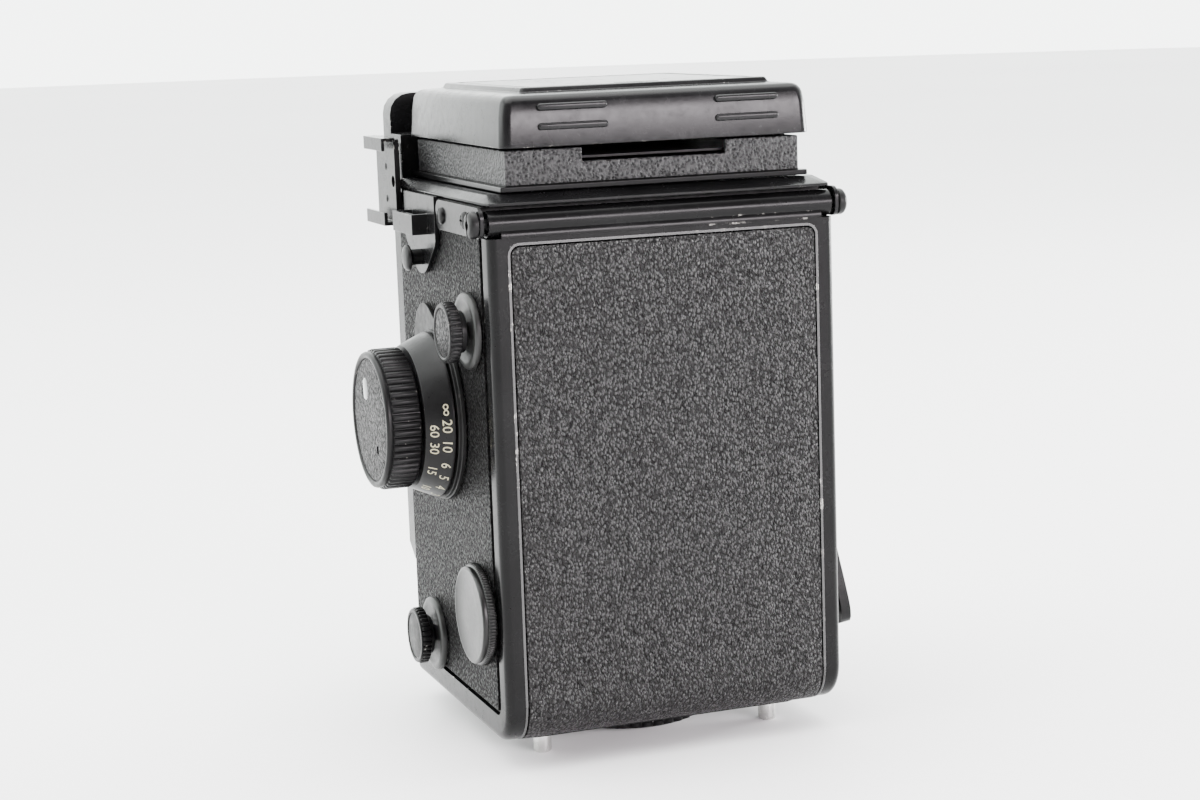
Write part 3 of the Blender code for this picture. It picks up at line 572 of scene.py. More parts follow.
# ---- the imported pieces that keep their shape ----

def packed_pieces():
    for node, material, edge in (
        ("body_shell", CASTING, 0.0), ("left_leatherette", SIDE_LEATHER, 0.0),
        ("right_leatherette", SIDE_LEATHER, 0.0),
        ("top_cap", PAINT, 0.3), ("meter_housing", PAINT, 0.35), ("hood_frame", WRINKLE, 0.3),
        ("accessory_shoe", PAINT, 0.2), ("viewing_mirror", MIRROR, 0.0), ("focusing_screen", SCREEN, 0.1),
        ("meter_scale_window", CLEAR, 0.1), ("meter_needle", MATTE, 0.0), ("battery_cell", STEEL_X, 0.0),
        ("lens_board", PAINT, 0.3), ("latch_bolt", STEEL, 0.1),
        ("pressure_plate", SATIN_CLEAN, 0.1), ("left_flap", SATIN_CLEAN, 0.1),
        ("right_flap", SATIN_CLEAN, 0.1),
        ("rear_flap", SATIN_CLEAN, 0.1), ("focus_shaft", STEEL_X, 0.0), ("idler_gear", BRASS, 0.0),
        ("takeup_drive", BRASS, 0.0), ("self_timer_lever", STEEL, 0.1),
    ):
        dress(node, material, edge)


# ---- the side with the focusing knob ----

def focusing():
    y, z = FOCUS
    grip = [
        (49.5, 14.9, 14.9), (49.7, 15.2, 15.2), (49.9, 15.75, 15.2), (50.3, 15.9, 15.15), (55.5, 15.9, 15.15),
        (55.9, 15.75, 15.2), (56.1, 15.2, 15.2), (56.3, 15.3, 15.3), (56.9, 15.4, 15.4), (57.3, 15.25, 15.25),
        (57.5, 14.9, 14.9), (57.5, 14.5, 14.5), (57.35, 14.1, 14.1), (57.1, 13.9, 13.9), (56.92, 13.9, 13.9),
    ]
    piece(
        "focus_grip", "focus", "black_enamel", SATIN, ribbed("x", FOCUS, grip, 56),
        ("cut", rod("x", FOCUS, 2.4, 49.0, 51.0, 32)), stands="focus_knob", smooth=40,
    )
    face = [(13.75, 56.95), (13.75, 57.05), (13.5, 57.2), (9.0, 57.3), (0, 57.32)]
    piece(
        "knob_leather", "focus", "leatherette", KNOB_LEATHER, turned("x", FOCUS, face, 96),
        ("cut", rod("x", (y + 5.6, z - 6.0), 1.0, 56.9, 58.0, 24)),
        ("cut", rod("x", (y - 3.4, z + 6.6), 2.6, 57.0, 58.0, 32)),
    )
    piece(
        "knob_window", "focus", "lens_glass", WINDOW,
        turned("x", (y - 3.4, z + 6.6), [(2.5, 57.02), (2.5, 57.2), (2.2, 57.32), (0, 57.36)], 40),
    )
    piece(
        "knob_pin", "focus", "bright_steel", MATTE,
        turned("x", (y + 5.6, z - 6.0), [(0.95, 56.95), (0.95, 57.0), (0, 57.02)], 24),
    )
    cone = [
        (2.4, 42.8), (18.6, 42.8), (18.8, 42.95), (18.8, 43.3), (18.7, 43.5), (16.3, 48.8), (16.1, 49.0),
        (2.4, 49.0),
    ]
    piece(
        "distance_cone", "focus", "black_enamel", SATIN, turned("x", FOCUS, cone, 120, ring=True),
        stands="distance_scale",
    )
    numbers()
    pear = []
    for i in range(120):
        t = 2 * math.pi * i / 120
        discs = ((*FOCUS, 19.5), (-12.4, 90.2, 8.8))
        reach = [(y * math.cos(t) + z * math.sin(t) + r, y, z, r) for y, z, r in discs]
        _, y, z, r = max(reach)
        pear.append((y + r * math.cos(t), z + r * math.sin(t)))
    piece(
        "index_plate", "body", "black_enamel", GREY, prism("x", pear, 40.6, 41.5),
        ("add", rod("x", FOCUS, SCALE_DISC_RADIUS, 41.0, 42.3, 96)),
        ("cut", rod("x", FOCUS, SHAFT_BORE, 40.0, 43.0)),
        stands="focus_index_plate", edge=0.15,
    )
    for name, centre, r, node in (
        ("takeup_dish", TAKEUP, 8.4, "takeup_escutcheon"), ("supply_dish", SUPPLY, 8.6, "supply_escutcheon"),
    ):
        profile = [
            (2.5, 40.6), (r, 40.6), (r, 41.4), (r - 0.15, 41.7), (r - 0.6, 42.0), (r - 1.6, 42.0),
            (r - 1.9, 41.8), (2.5, 41.8),
        ]
        row = (centre[0] + SHIFT.y, centre[1])
        shade = spun(name + "_metal", (0.014, 0.0145, 0.014), row, 0.42, 0.5)
        piece(
            name, "body", "satin_alloy", shade, turned("x", centre, profile, 80, ring=True), stands=node,
            smooth=50,
        )
    for name, centre, stem, head, body in (
        ("takeup_head", TAKEUP, 44.0, 47.0, "takeup_pull"),
        ("supply_head", SUPPLY, 43.6, 46.2, "supply_pull"),
    ):
        levels = [
            (30.8, 1.9, 1.9), (42.4, 1.9, 1.9), (42.4, 4.4, 4.4), (42.6, 4.6, 4.6), (stem - 0.05, 4.6, 4.6),
            (stem, 5.9, 5.9), (stem + 0.15, 6.3, 6.15), (stem + 0.35, 6.6, 6.2), (head - 0.7, 6.6, 6.2),
            (head - 0.45, 6.35, 6.2), (head - 0.25, 6.35, 6.35), (head - 0.05, 6.2, 6.2), (head, 5.9, 5.9),
            (head, 5.65, 5.65), (head - 0.2, 5.4, 5.4), (head - 0.48, 5.4, 5.4),
        ]
        piece(
            name, body, "satin_alloy", SATIN, ribbed("x", centre, levels, 34),
            stands=name.replace("head", "knob"), smooth=40,
        )
        inlay = [(5.3, head - 0.45), (5.3, head - 0.25), (5.0, head - 0.14), (0, head - 0.08)]
        if name == "takeup_head":
            piece("takeup_inlay", body, "leatherette", KNOB_LEATHER, turned("x", centre, inlay, 64))
        else:
            piece("supply_inlay", body, "satin_alloy", GREY, turned("x", centre, inlay, 64))
    cover = [
        (40.6, 11.0, 11.0), (40.75, 11.2, 11.1), (41.0, 11.35, 11.05), (42.0, 11.35, 11.05),
        (42.25, 11.2, 11.0), (42.4, 10.9, 10.9), (42.5, 10.65, 10.65), (43.2, 10.75, 10.75),
        (43.45, 10.6, 10.6), (43.6, 10.3, 10.3), (43.58, 10.0, 10.0), (43.4, 9.6, 9.6), (43.36, 4.0, 4.0),
    ]
    shade = spun(
        "battery_cover_metal", (0.012, 0.0123, 0.012), (BATTERY[0] + SHIFT.y, BATTERY[1]), 0.36, 0.75,
    )
    piece(
        "battery_cap", "battery_lid", "satin_alloy", shade, ribbed("x", BATTERY, cover, 96),
        stands="battery_cover", smooth=40,
    )


def numbers():
    """Feet and metres printed on the distance cone, read from above, tops to the body."""
    def cone_radius(x):
        return 18.72 - (x - 43.45) * (18.7 - 16.3) / (48.8 - 43.5)

    points, faces = [], []
    rows = (
        (45.55, 2.05, (
            ("∞", 12), ("20", 0.5), ("10", -14), ("6", -30), ("5", -42), ("4", -55), ("3", -72),
            ("2", -92), ("1.5", -118), ("1.2", -145), ("1", -172),
        )),
        (48.1, 1.9, (
            ("60", -3), ("30", -16.5), ("15", -37), ("10", -62), ("8", -82), ("6", -104), ("5", -126),
            ("4", -152), ("3.5", -180),
        )),
    )
    for base_x, size, marks in rows:
        for text, degrees in marks:
            def laid(u, v):
                x = base_x - v * 0.92
                t = math.radians(degrees) - u / cone_radius(base_x)
                r = cone_radius(x) + 0.025
                return (x, FOCUS[0] + r * math.cos(t), FOCUS[1] + r * math.sin(t))

            add_text(points, faces, text, size * 1.5, laid, resolution=4)
    piece("scale_numbers", "focus", "dial_ivory", MARKS, (points, faces))


def screw(name, body, centre, radius, x0, x1, cross, side=1):
    """A domed screw head on the side of the camera, slotted or with a cross."""
    y, z = centre
    head = [
        (radius, x0), (radius, x0 + 0.35 * (x1 - x0)), (radius * 0.86, x0 + 0.72 * (x1 - x0)),
        (radius * 0.5, x1 - 0.04), (0, x1),
    ]
    reach = radius * (0.62 if cross else 1.2)
    steps = [("cut", box(x1 - 0.45, x1 + 1.0, y - 0.22, y + 0.22, z - reach, z + reach))]
    if cross:
        steps.append(
            ("cut", box(x1 - 0.45, x1 + 1.0, y - radius * 0.62, y + radius * 0.62, z - 0.22, z + 0.22))
        )
    shape = turned("x", centre, head, 40)
    if side < 0:
        shape = mirrored(shape)
        steps = [(action, mirrored(tool)) for action, tool in steps]
    return piece(name, body, "bright_steel", SATIN, shape, *steps, smooth=40)


def hinges_and_lugs():
    outline = rounded(0.7, 33.5, 117.0, 123.6, 2.4, 8)
    shield = [
        (-25.0, 124.0), (-25.0, 114.0), (-24.4, 112.9), (-18.2, 107.6), (-16.6, 106.6), (-14.8, 106.0),
        (-13.0, 105.8), (-11.2, 106.0), (-9.4, 106.6), (-7.8, 107.6), (-1.1, 112.9), (-0.5, 114.0),
        (-0.5, 124.0),
    ]
    for side, label in ((1, "left"), (-1, "right")):
        def sided(shape):
            return shape if side > 0 else mirrored(shape)

        piece(
            label + "_plate", "body", "black_enamel", PAINT, sided(prism("x", outline, 40.6, 41.5)),
            ("cut", sided(rod("x", HINGE, 1.5, 40.0, 42.0, 40))), stands=label + "_hinge_plate", edge=0.15,
        )
        screw(label + "_slot_screw", "body", (5.4, 120.2), 1.9, 41.45, 42.4, False, side)
        screw(label + "_cross_screw", "body", (22.5, 120.4), 1.9, 41.45, 42.4, True, side)
        piece(
            label + "_lug", "body", "black_enamel", PAINT, sided(prism("x", shield, 40.5, 41.5)),
            ("add", sided(box(41.2, 45.2, -22.0, -20.6, 115.2, 119.8))),
            ("add", sided(box(41.2, 45.2, -7.4, -6.0, 115.2, 119.8))),
            ("add", sided(box(44.0, 45.2, -22.0, -6.0, 115.2, 119.8))),
            stands=label + "_strap_lug", edge=0.18,
        )
        stud = [
            (1.8, 41.45), (1.8, 43.7), (2.2, 44.0), (2.9, 44.25), (3.0, 44.5), (2.9, 44.9), (2.5, 45.25),
            (1.6, 45.45), (0, 45.5),
        ]
        piece(label + "_stud", "body", "black_enamel", SATIN, sided(turned("x", (-13.0, 109.6), stud, 48)))
    pin = rod("x", HINGE, 1.2, -42.2, 42.2, 32)
    head = [
        (1.0, 41.7), (2.7, 41.7), (2.9, 41.9), (2.9, 42.8), (2.75, 43.2), (2.3, 43.6), (1.8, 43.7),
        (1.0, 43.7),
    ]
    piece(
        "hinge_axle", "body", "bright_steel", SATIN, pin,
        ("add", turned("x", HINGE, head, 48, ring=True)),
        ("add", mirrored(turned("x", HINGE, head, 48, ring=True))),
        ("cut", box(43.0, 45.0, 30.65, 31.35, 116.0, 124.0)),
        ("cut", box(-45.0, -43.0, 30.65, 31.35, 116.0, 124.0)),
        stands="hinge_pin", smooth=40,
    )
    for y, z in ((-36.0, 129.0), (-36.0, 121.5)):
        piece(
            f"shoe_rivet_{int(z)}", "body", "bright_steel", SATIN,
            turned("x", (y, z), [(0.85, 42.4), (0.85, 42.55), (0.6, 42.7), (0, 42.75)], 28),
        )


# ---- the back ----

def back():
    def corner(radius, steps=16):
        turns = [math.pi / 2 * i / steps for i in range(steps + 1)]
        return [(25.0 + radius * math.cos(t), 15.0 - radius * math.sin(t)) for t in turns]

    def section(inset):
        """The door's L from the side: down the back and along under the body."""
        fillet = [
            (26.2 + 3.0 * math.sin(t), 15.0 - 3.0 * math.cos(t))
            for t in (0.0, 0.26, 0.52, 0.79, 1.05, 1.31, 1.57)
        ]
        return [
            (29.2, 117.0), (34.0 - inset, 117.0), *corner(9.0 - inset), (-36.2, 6.0 + inset),
            (-36.2, 12.0), *fillet,
        ]

    levels = []
    for i in range(8):
        t = math.pi / 2 * i / 7
        levels.append((40.0 - 2.0 * (1 - math.cos(t)), 2.0 * (1 - math.sin(t))))
    levels += [(36.8, -0.0)]
    sides = [(-x, inset) for x, inset in levels] + [(x, inset) for x, inset in reversed(levels)]
    body = loft([[(x, y, z) for y, z in section(inset)] for x, inset in sides])
    cavity = [(20.0, 119.0), (32.5, 119.0), *corner(7.5), (-34.6, 7.5), (-34.6, 20.0), (20.0, 20.0)]
    recess = [(38.0, 115.4), (33.3, 115.4), *corner(8.3), (25.0, 0.0), (38.0, 0.0)]
    lip = [
        (30.2, 116.4), (33.8, 116.4), (33.85, 117.6), (33.6, 118.6), (33.0, 119.2), (32.0, 119.6),
        (31.0, 119.6),
    ]
    piece(
        "door_shell", "door", "door_enamel", DOOR, body,
        ("cut", prism("x", cavity, -37.4, 37.4)), ("cut", prism("x", recess, -35.3, 35.3)),
        ("add", turned("x", HINGE, [(2.9, -39.6), (2.9, 39.6)], 40)), ("add", prism("x", lip, -37.0, 37.0)),
        ("cut", rod("x", HINGE, 1.55, -42.0, 42.0, 32)), ("cut", rod("z", (0.0, 0.0), 8.6, 0.0, 9.0, 48)),
        stands="back_door", edge=0.3, segments=3,
    )
    outer = [(34.2, 115.1), *corner(9.2)]
    inner = [(33.6, 115.1), *corner(8.62)]
    bend = [math.pi / 2 * i / 10 for i in range(11)]
    nick = [(36.0, 113.3), (36.0, 116.0), (33.2, 116.0)] + [
        (33.2 + 1.8 * math.sin(t), 113.3 + 1.8 * math.cos(t)) for t in bend
    ]
    fill = [(35.5, 113.3), (35.5, 115.6), (33.2, 115.6)] + [
        (33.2 + 2.2 * math.sin(t), 113.3 + 2.2 * math.cos(t)) for t in bend
    ]
    piece(
        "back_leather", "door", "leatherette", LEATHER, prism("x", outer + inner[::-1], -35.0, 35.0),
        ("cut", prism("y", nick, 30.0, 38.0)),
        ("cut", prism("y", [(-x, z) for x, z in nick[::-1]], 30.0, 38.0)),
        stands="back_leatherette", edge=0.12,
    )
    hoop = [(35.9, 15.0)] + [(33.2 + 2.7 * math.cos(t), 113.3 + 2.7 * math.sin(t)) for t in bend]
    inside = [(35.32, 15.0)] + [(33.2 + 2.12 * math.cos(t), 113.3 + 2.12 * math.sin(t)) for t in bend]
    hoop = hoop + [(-x, z) for x, z in hoop[::-1]] + [(-x, z) for x, z in inside] + inside[::-1]
    piece(
        "door_bead", "door", "door_enamel", BEAD, prism("y", hoop, 33.5, 34.15),
        ("add", prism("y", fill, 33.2, 33.95)),
        ("add", prism("y", [(-x, z) for x, z in fill[::-1]], 33.2, 33.95)),
        edge=0.2, segments=4,
    )
    for side, (a, b) in (("left", (35.32, 35.9)), ("right", (-35.9, -35.32))):
        strip = corner(9.15) + corner(8.5)[::-1]
        piece(f"door_bead_{side}", "door", "door_enamel", BEAD, prism("x", strip, a, b), edge=0.2, segments=4)
    plate = rounded(-33.0, 33.0, -24.5, 24.5, 3.0, 8)
    piece(
        "bottom_plate", "door", "bright_steel", PAINT, prism("z", plate, 4.9, 5.7),
        ("cut", rod("z", (0.0, 0.0), 12.0, 2.0, 8.0, 64)), ("cut", box(-4.6, 4.6, -26.0, 0.0, 2.0, 8.0)),
        stands="base_plate", edge=0.12,
    )
    for i, (x, y) in enumerate(((-27.6, -19.2), (27.6, -19.2), (-27.6, 19.2), (27.6, 19.2))):
        foot = [(1.5, 0.0), (1.8, 0.1), (2.05, 0.4), (2.1, 0.8), (2.1, 4.6), (2.6, 4.85), (2.6, 4.95)]
        piece(f"foot_{i}", "door", "bright_steel", STEEL, turned("z", (x, y), foot, 40))
    bush = [(3.1, 1.4), (7.1, 1.4), (7.4, 1.7), (7.4, 4.6), (8.2, 4.6), (8.2, 6.6), (3.1, 6.6)]
    threads = []
    for k in range(8):
        threads += [(3.1, 6.5 - 0.6 * k), (3.35, 6.2 - 0.6 * k)]
    piece(
        "tripod_bush", "door", "bright_steel", STEEL,
        turned("z", (0.0, 0.0), bush[:-1] + threads, 64, ring=True), stands="tripod_socket",
    )
    ring = [
        (1.2, 17.2, 17.2), (1.3, 17.5, 17.3), (1.6, 18.3, 17.5), (2.6, 18.3, 17.5), (2.9, 17.6, 17.4),
        (3.0, 17.2, 17.2), (3.0, 11.4, 11.4), (4.2, 11.4, 11.4),
    ]
    piece(
        "lock_grip", "lock", "satin_alloy", SATIN, ribbed("z", (0.0, 0.0), ring, 40),
        ("cut", rod("z", (0.0, 0.0), 7.8, 0.0, 6.0, 64)), stands="lock_ring", smooth=40,
    )
    tab = rounded(14.8, 20.9, -2.3, 2.3, 1.2, 6)
    piece("lock_tab", "lock", "bright_steel", STEEL, prism("z", tab, 1.25, 2.9), edge=0.2)


# ---- the hood ----

def hood():
    def ring(inset, z, radius=2.4):
        x, y0, y1 = 35.6 - inset, -38.8 + inset, 32.0 - inset
        r = max(radius - inset * 0.25, 0.6)
        return [(u, v, z) for u, v in rounded(-x, x, y0, y1, r, 7)]

    def panel(inset, z):
        x, y0, y1 = 28.6 - inset, -31.8 + inset, 25.0 - inset
        return [(u, v, z) for u, v in rounded(-x, x, y0, y1, max(2.0 - inset, 0.4), 7)]

    shell = loft([
        ring(0.15, 135.6), ring(0.0, 135.75), ring(0.0, 136.4), ring(0.35, 142.0), ring(0.75, 144.6),
        ring(1.0, 145.3), ring(1.45, 145.95), ring(2.1, 146.4), ring(3.0, 146.6), ring(6.2, 146.8),
        ring(6.7, 147.0), ring(7.0, 147.6), ring(7.15, 147.85), ring(7.5, 148.0),
    ])
    room = prism("z", rounded(-33.9, 33.9, -37.4, 30.3, 1.0, 4), 130.0, 145.0)
    outer = [(u, v) for u, v, _ in panel(2.2, 0)]
    inner = [(u, v) for u, v, _ in panel(3.4, 0)]
    steps = [
        ("cut", room),
        ("cut", prism("z", outer, 147.4, 149.0)),
        ("add", prism("z", inner, 147.0, 147.95)),
    ]
    piece("lid_shell", "lid", "hood_sheet", LID, shell, *steps, stands="hood_lid", edge=0.12, segments=2)
    piece("lid_catch", "lid", "hood_sheet", MATTE, loft([
        [(5.4 * u, 19.2 + 1.7 * v, 147.9) for u, v in circle((0, 0), 1.0, 48)],
        [(5.2 * u, 19.2 + 1.5 * v, 147.98) for u, v in circle((0, 0), 1.0, 48)],
    ]))
    for x0, x1, side in ((11.6, 27.4, "left"), (-28.0, -13.2, "right")):
        for z, row in ((144.0, "upper"), (139.9, "lower")):
            back = 31.95 - (z - 136.4) * 0.35 / 5.6
            bar = []
            for depth, grow in ((-0.3, 0.0), (0.4, 0.0), (0.7, -0.16), (0.82, -0.45)):
                half = 0.75 + grow
                outline = circle((x1 - 0.75, z), half, 10, -math.pi / 2, math.pi / 2)
                outline += circle((x0 + 0.75, z), half, 10, math.pi / 2, 1.5 * math.pi)
                bar.append([(u, back + depth, v) for u, v in outline])
            piece(f"lid_rib_{side}_{row}", "lid", "hood_sheet", LID, loft(bar), smooth=60)
    piece(
        "magnifier_plate", "lid", "hood_sheet", SATIN_CLEAN, box(-17.0, 17.0, -34.0, 2.0, 142.9, 144.5),
        ("cut", rod("z", (0.0, -16.0), 13.0, 140.0, 146.0, 72)), stands="magnifier_frame", edge=0.2,
    )
    bulge = [(12.6, 143.5), (12.6, 144.1), (9.0, 144.4), (4.0, 144.57), (0, 144.6)]
    under = [(0, 142.7), (4.0, 142.74), (8.0, 142.9), (12.0, 143.35)]
    piece(
        "magnifier_glass", "lid", "lens_glass", CLEAR, turned("z", (0.0, -16.0), under + bulge, 72),
        stands="magnifier_lens", smooth=60,
    )


# ---- the front ----

def front():
    for label, z, r, node in (
        ("viewing", VIEWING_Z, 19.6, "viewing_lens_barrel"),
        ("taking", TAKING_Z, 21.6, "taking_lens_barrel"),
    ):
        profile = [
            (15.2, -29.6), (15.2, -44.0), (18.2, -44.0), (18.2, -48.1), (r - 0.2, -48.1), (r, -48.3),
            (r, -51.6), (r - 0.25, -51.75), (r - 0.25, -52.05), (r, -52.2), (r, -55.4), (r - 0.25, -55.7),
            (19.4, -56.4), (19.4, -60.1), (20.1, -60.5), (20.3, -60.8), (20.3, -63.4), (20.1, -63.6),
            (20.1, -63.9), (20.3, -64.1), (20.3, -66.6), (20.1, -67.2), (19.7, -67.8), (19.4, -68.0),
            (17.4, -68.0), (17.1, -67.8), (17.1, -66.2), (16.7, -66.2), (16.7, -65.2), (16.3, -65.2),
            (16.3, -64.2), (15.9, -64.2), (15.9, -63.2), (15.2, -63.0), (14.9, -62.3), (14.2, -62.0),
            (13.6, -29.6),
        ]
        piece(
            label + "_barrel", "lens_panel", "lens_mount", SATIN_CLEAN,
            turned("y", (0.0, z), profile, 96, ring=True), stands=node, smooth=32,
        )
        bezel = [
            (13.75, -61.0), (14.1, -61.9), (14.5, -62.5), (15.6, -62.95), (15.9, -63.2), (15.4, -63.25),
            (14.2, -62.8), (13.85, -62.0),
        ]
        ring_metal = spun(label + "_bezel_metal", (0.2, 0.2, 0.2), (SHIFT.x, z), 0.22, 1.0, "y")
        piece(
            label + "_bezel", "lens_panel", "lens_mount", ring_metal,
            turned("y", (0.0, z), bezel, 96, ring=True), smooth=60,
        )
        dome = [
            (0, -63.2), (3.0, -63.1), (6.0, -62.72), (9.0, -62.0), (11.6, -61.1), (13.6, -59.95),
            (13.6, -56.5), (9.0, -55.9), (0, -55.5),
        ]
        piece(
            label + "_glass", "lens_panel", "lens_glass", LENS, turned("y", (0.0, z), dome, 96),
            stands=label + "_lens_glass", smooth=50,
        )
        for k in range(3):
            angle = math.radians(90 + 120 * k)
            corners = [(17.15, angle), (16.75, angle), (16.75, angle + 0.35), (17.15, angle + 0.35)]
            lug = loft(
                [[(u * math.sin(t), -y, z + u * math.cos(t)) for u, t in corners] for y in (66.3, 67.2)]
            )
            piece(f"{label}_lug_{k}", "lens_panel", "lens_mount", SATIN_CLEAN, lug)
    for x, body, node in ((27.5, "aperture", "aperture_wheel"), (-27.5, "speed", "speed_wheel")):
        levels = [
            (-44.6, 2.5, 2.5), (-48.2, 2.5, 2.5), (-48.2, 8.0, 8.0), (-48.4, 8.3, 8.1), (-48.7, 8.6, 8.05),
            (-52.0, 8.6, 8.05), (-52.4, 8.2, 8.0), (-52.6, 7.8, 7.8), (-52.6, 7.0, 7.0), (-53.2, 6.8, 6.8),
            (-53.4, 6.4, 6.4),
        ]
        shade = spun(body + "_face", (0.012, 0.012, 0.012), (x + SHIFT.x, 71.5), 0.32, 0.6, "y")
        piece(
            body + "_dial", body, "lens_mount", shade, ribbed("y", (x, 71.5), levels, 40), stands=node,
            smooth=40,
        )
    button = [
        (4.3, -42.0), (4.3, -49.4), (4.1, -49.9), (3.6, -50.3), (3.2, -50.4), (2.2, -50.1), (1.2, -49.8),
        (0.6, -49.75), (0.5, -49.2), (0, -49.2),
    ]
    piece(
        "release_cap", "release", "bright_steel", STEEL, turned("y", (-27.5, 16.5), button, 56),
        stands="release_button", smooth=40,
    )
    socket = [
        (1.9, -45.4), (3.4, -45.4), (3.4, -47.9), (3.2, -48.2), (2.7, -48.4), (2.1, -48.4), (1.9, -48.2),
    ]
    piece(
        "flash_socket", "body", "bright_steel", STEEL, turned("y", (27.5, 16.5), socket, 48, ring=True),
        stands="sync_socket", smooth=40,
    )
    collar = [(4.9, -45.0), (6.6, -45.0), (6.6, -45.4), (6.2, -45.8), (5.2, -45.8), (4.9, -45.5)]
    piece(
        "release_collar", "body", "bright_steel", STEEL,
        turned("y", (-27.5, 16.5), collar, 56, ring=True), smooth=40,
    )
    for side in (-1, 1):
        outline = [
            (25.4, 29.4), (34.6, 31.4), (35.6, 35.0), (35.6, 59.8), (28.0, 59.8), (25.4, 56.0),
            (23.6, 46.0), (23.6, 38.0),
        ]
        outline = [(side * u, v) for u, v in outline]
        name = "left" if side > 0 else "right"
        piece(
            name + "_front_leather", "lens_panel", "leatherette", LEATHER,
            prism("y", outline, -48.15, -47.75), edge=0.1,
        )
    piece(
        "apron_leather", "body", "leatherette", LEATHER,
        prism("y", rounded(-18.5, 18.5, 9.5, 24.0, 1.5), -45.4, -44.95), edge=0.1,
    )
    cell = [(4.5, -54.0), (4.5, -54.8), (4.2, -55.0), (0, -55.0)]
    piece("meter_cell", "body", "lens_glass", honeycomb(), turned("y", (24.0, 130.0), cell, 56))
    piece("meter_dial", "body", "dial_ivory", IVORY, box(-23.4, 23.4, -46.6, -41.9, 129.6, 129.9))
    ticks = ([], [])
    for k in range(13):
        x = -18.0 + 3.0 * k
        points, faces = box(x - 0.15, x + 0.15, -46.0, -45.0 if k % 3 else -44.4, 129.85, 129.95)
        ticks[1].extend(tuple(i + len(ticks[0]) for i in face) for face in faces)
        ticks[0].extend(points)
    piece("meter_ticks", "body", "dial_ivory", DARK_PRINT, ticks)


def honeycomb():
    t = Tree("cell_window")
    cells = t.cells(1500.0, "DISTANCE_TO_EDGE")
    line = t.ranged(cells, 0.02, 0.1)
    t.fixed(
        Base_Color=t.blend(line, (0.02, 0.02, 0.02), (0.30, 0.33, 0.32)),
        Roughness=t.ranged(cells, 0.0, 0.4, 0.25, 0.08), Coat_Weight=1.0, Coat_Roughness=0.03,
    )
    t.bump(cells, 0.8, 0.15)
    return t.material


# ---- the winding side and the inside ----

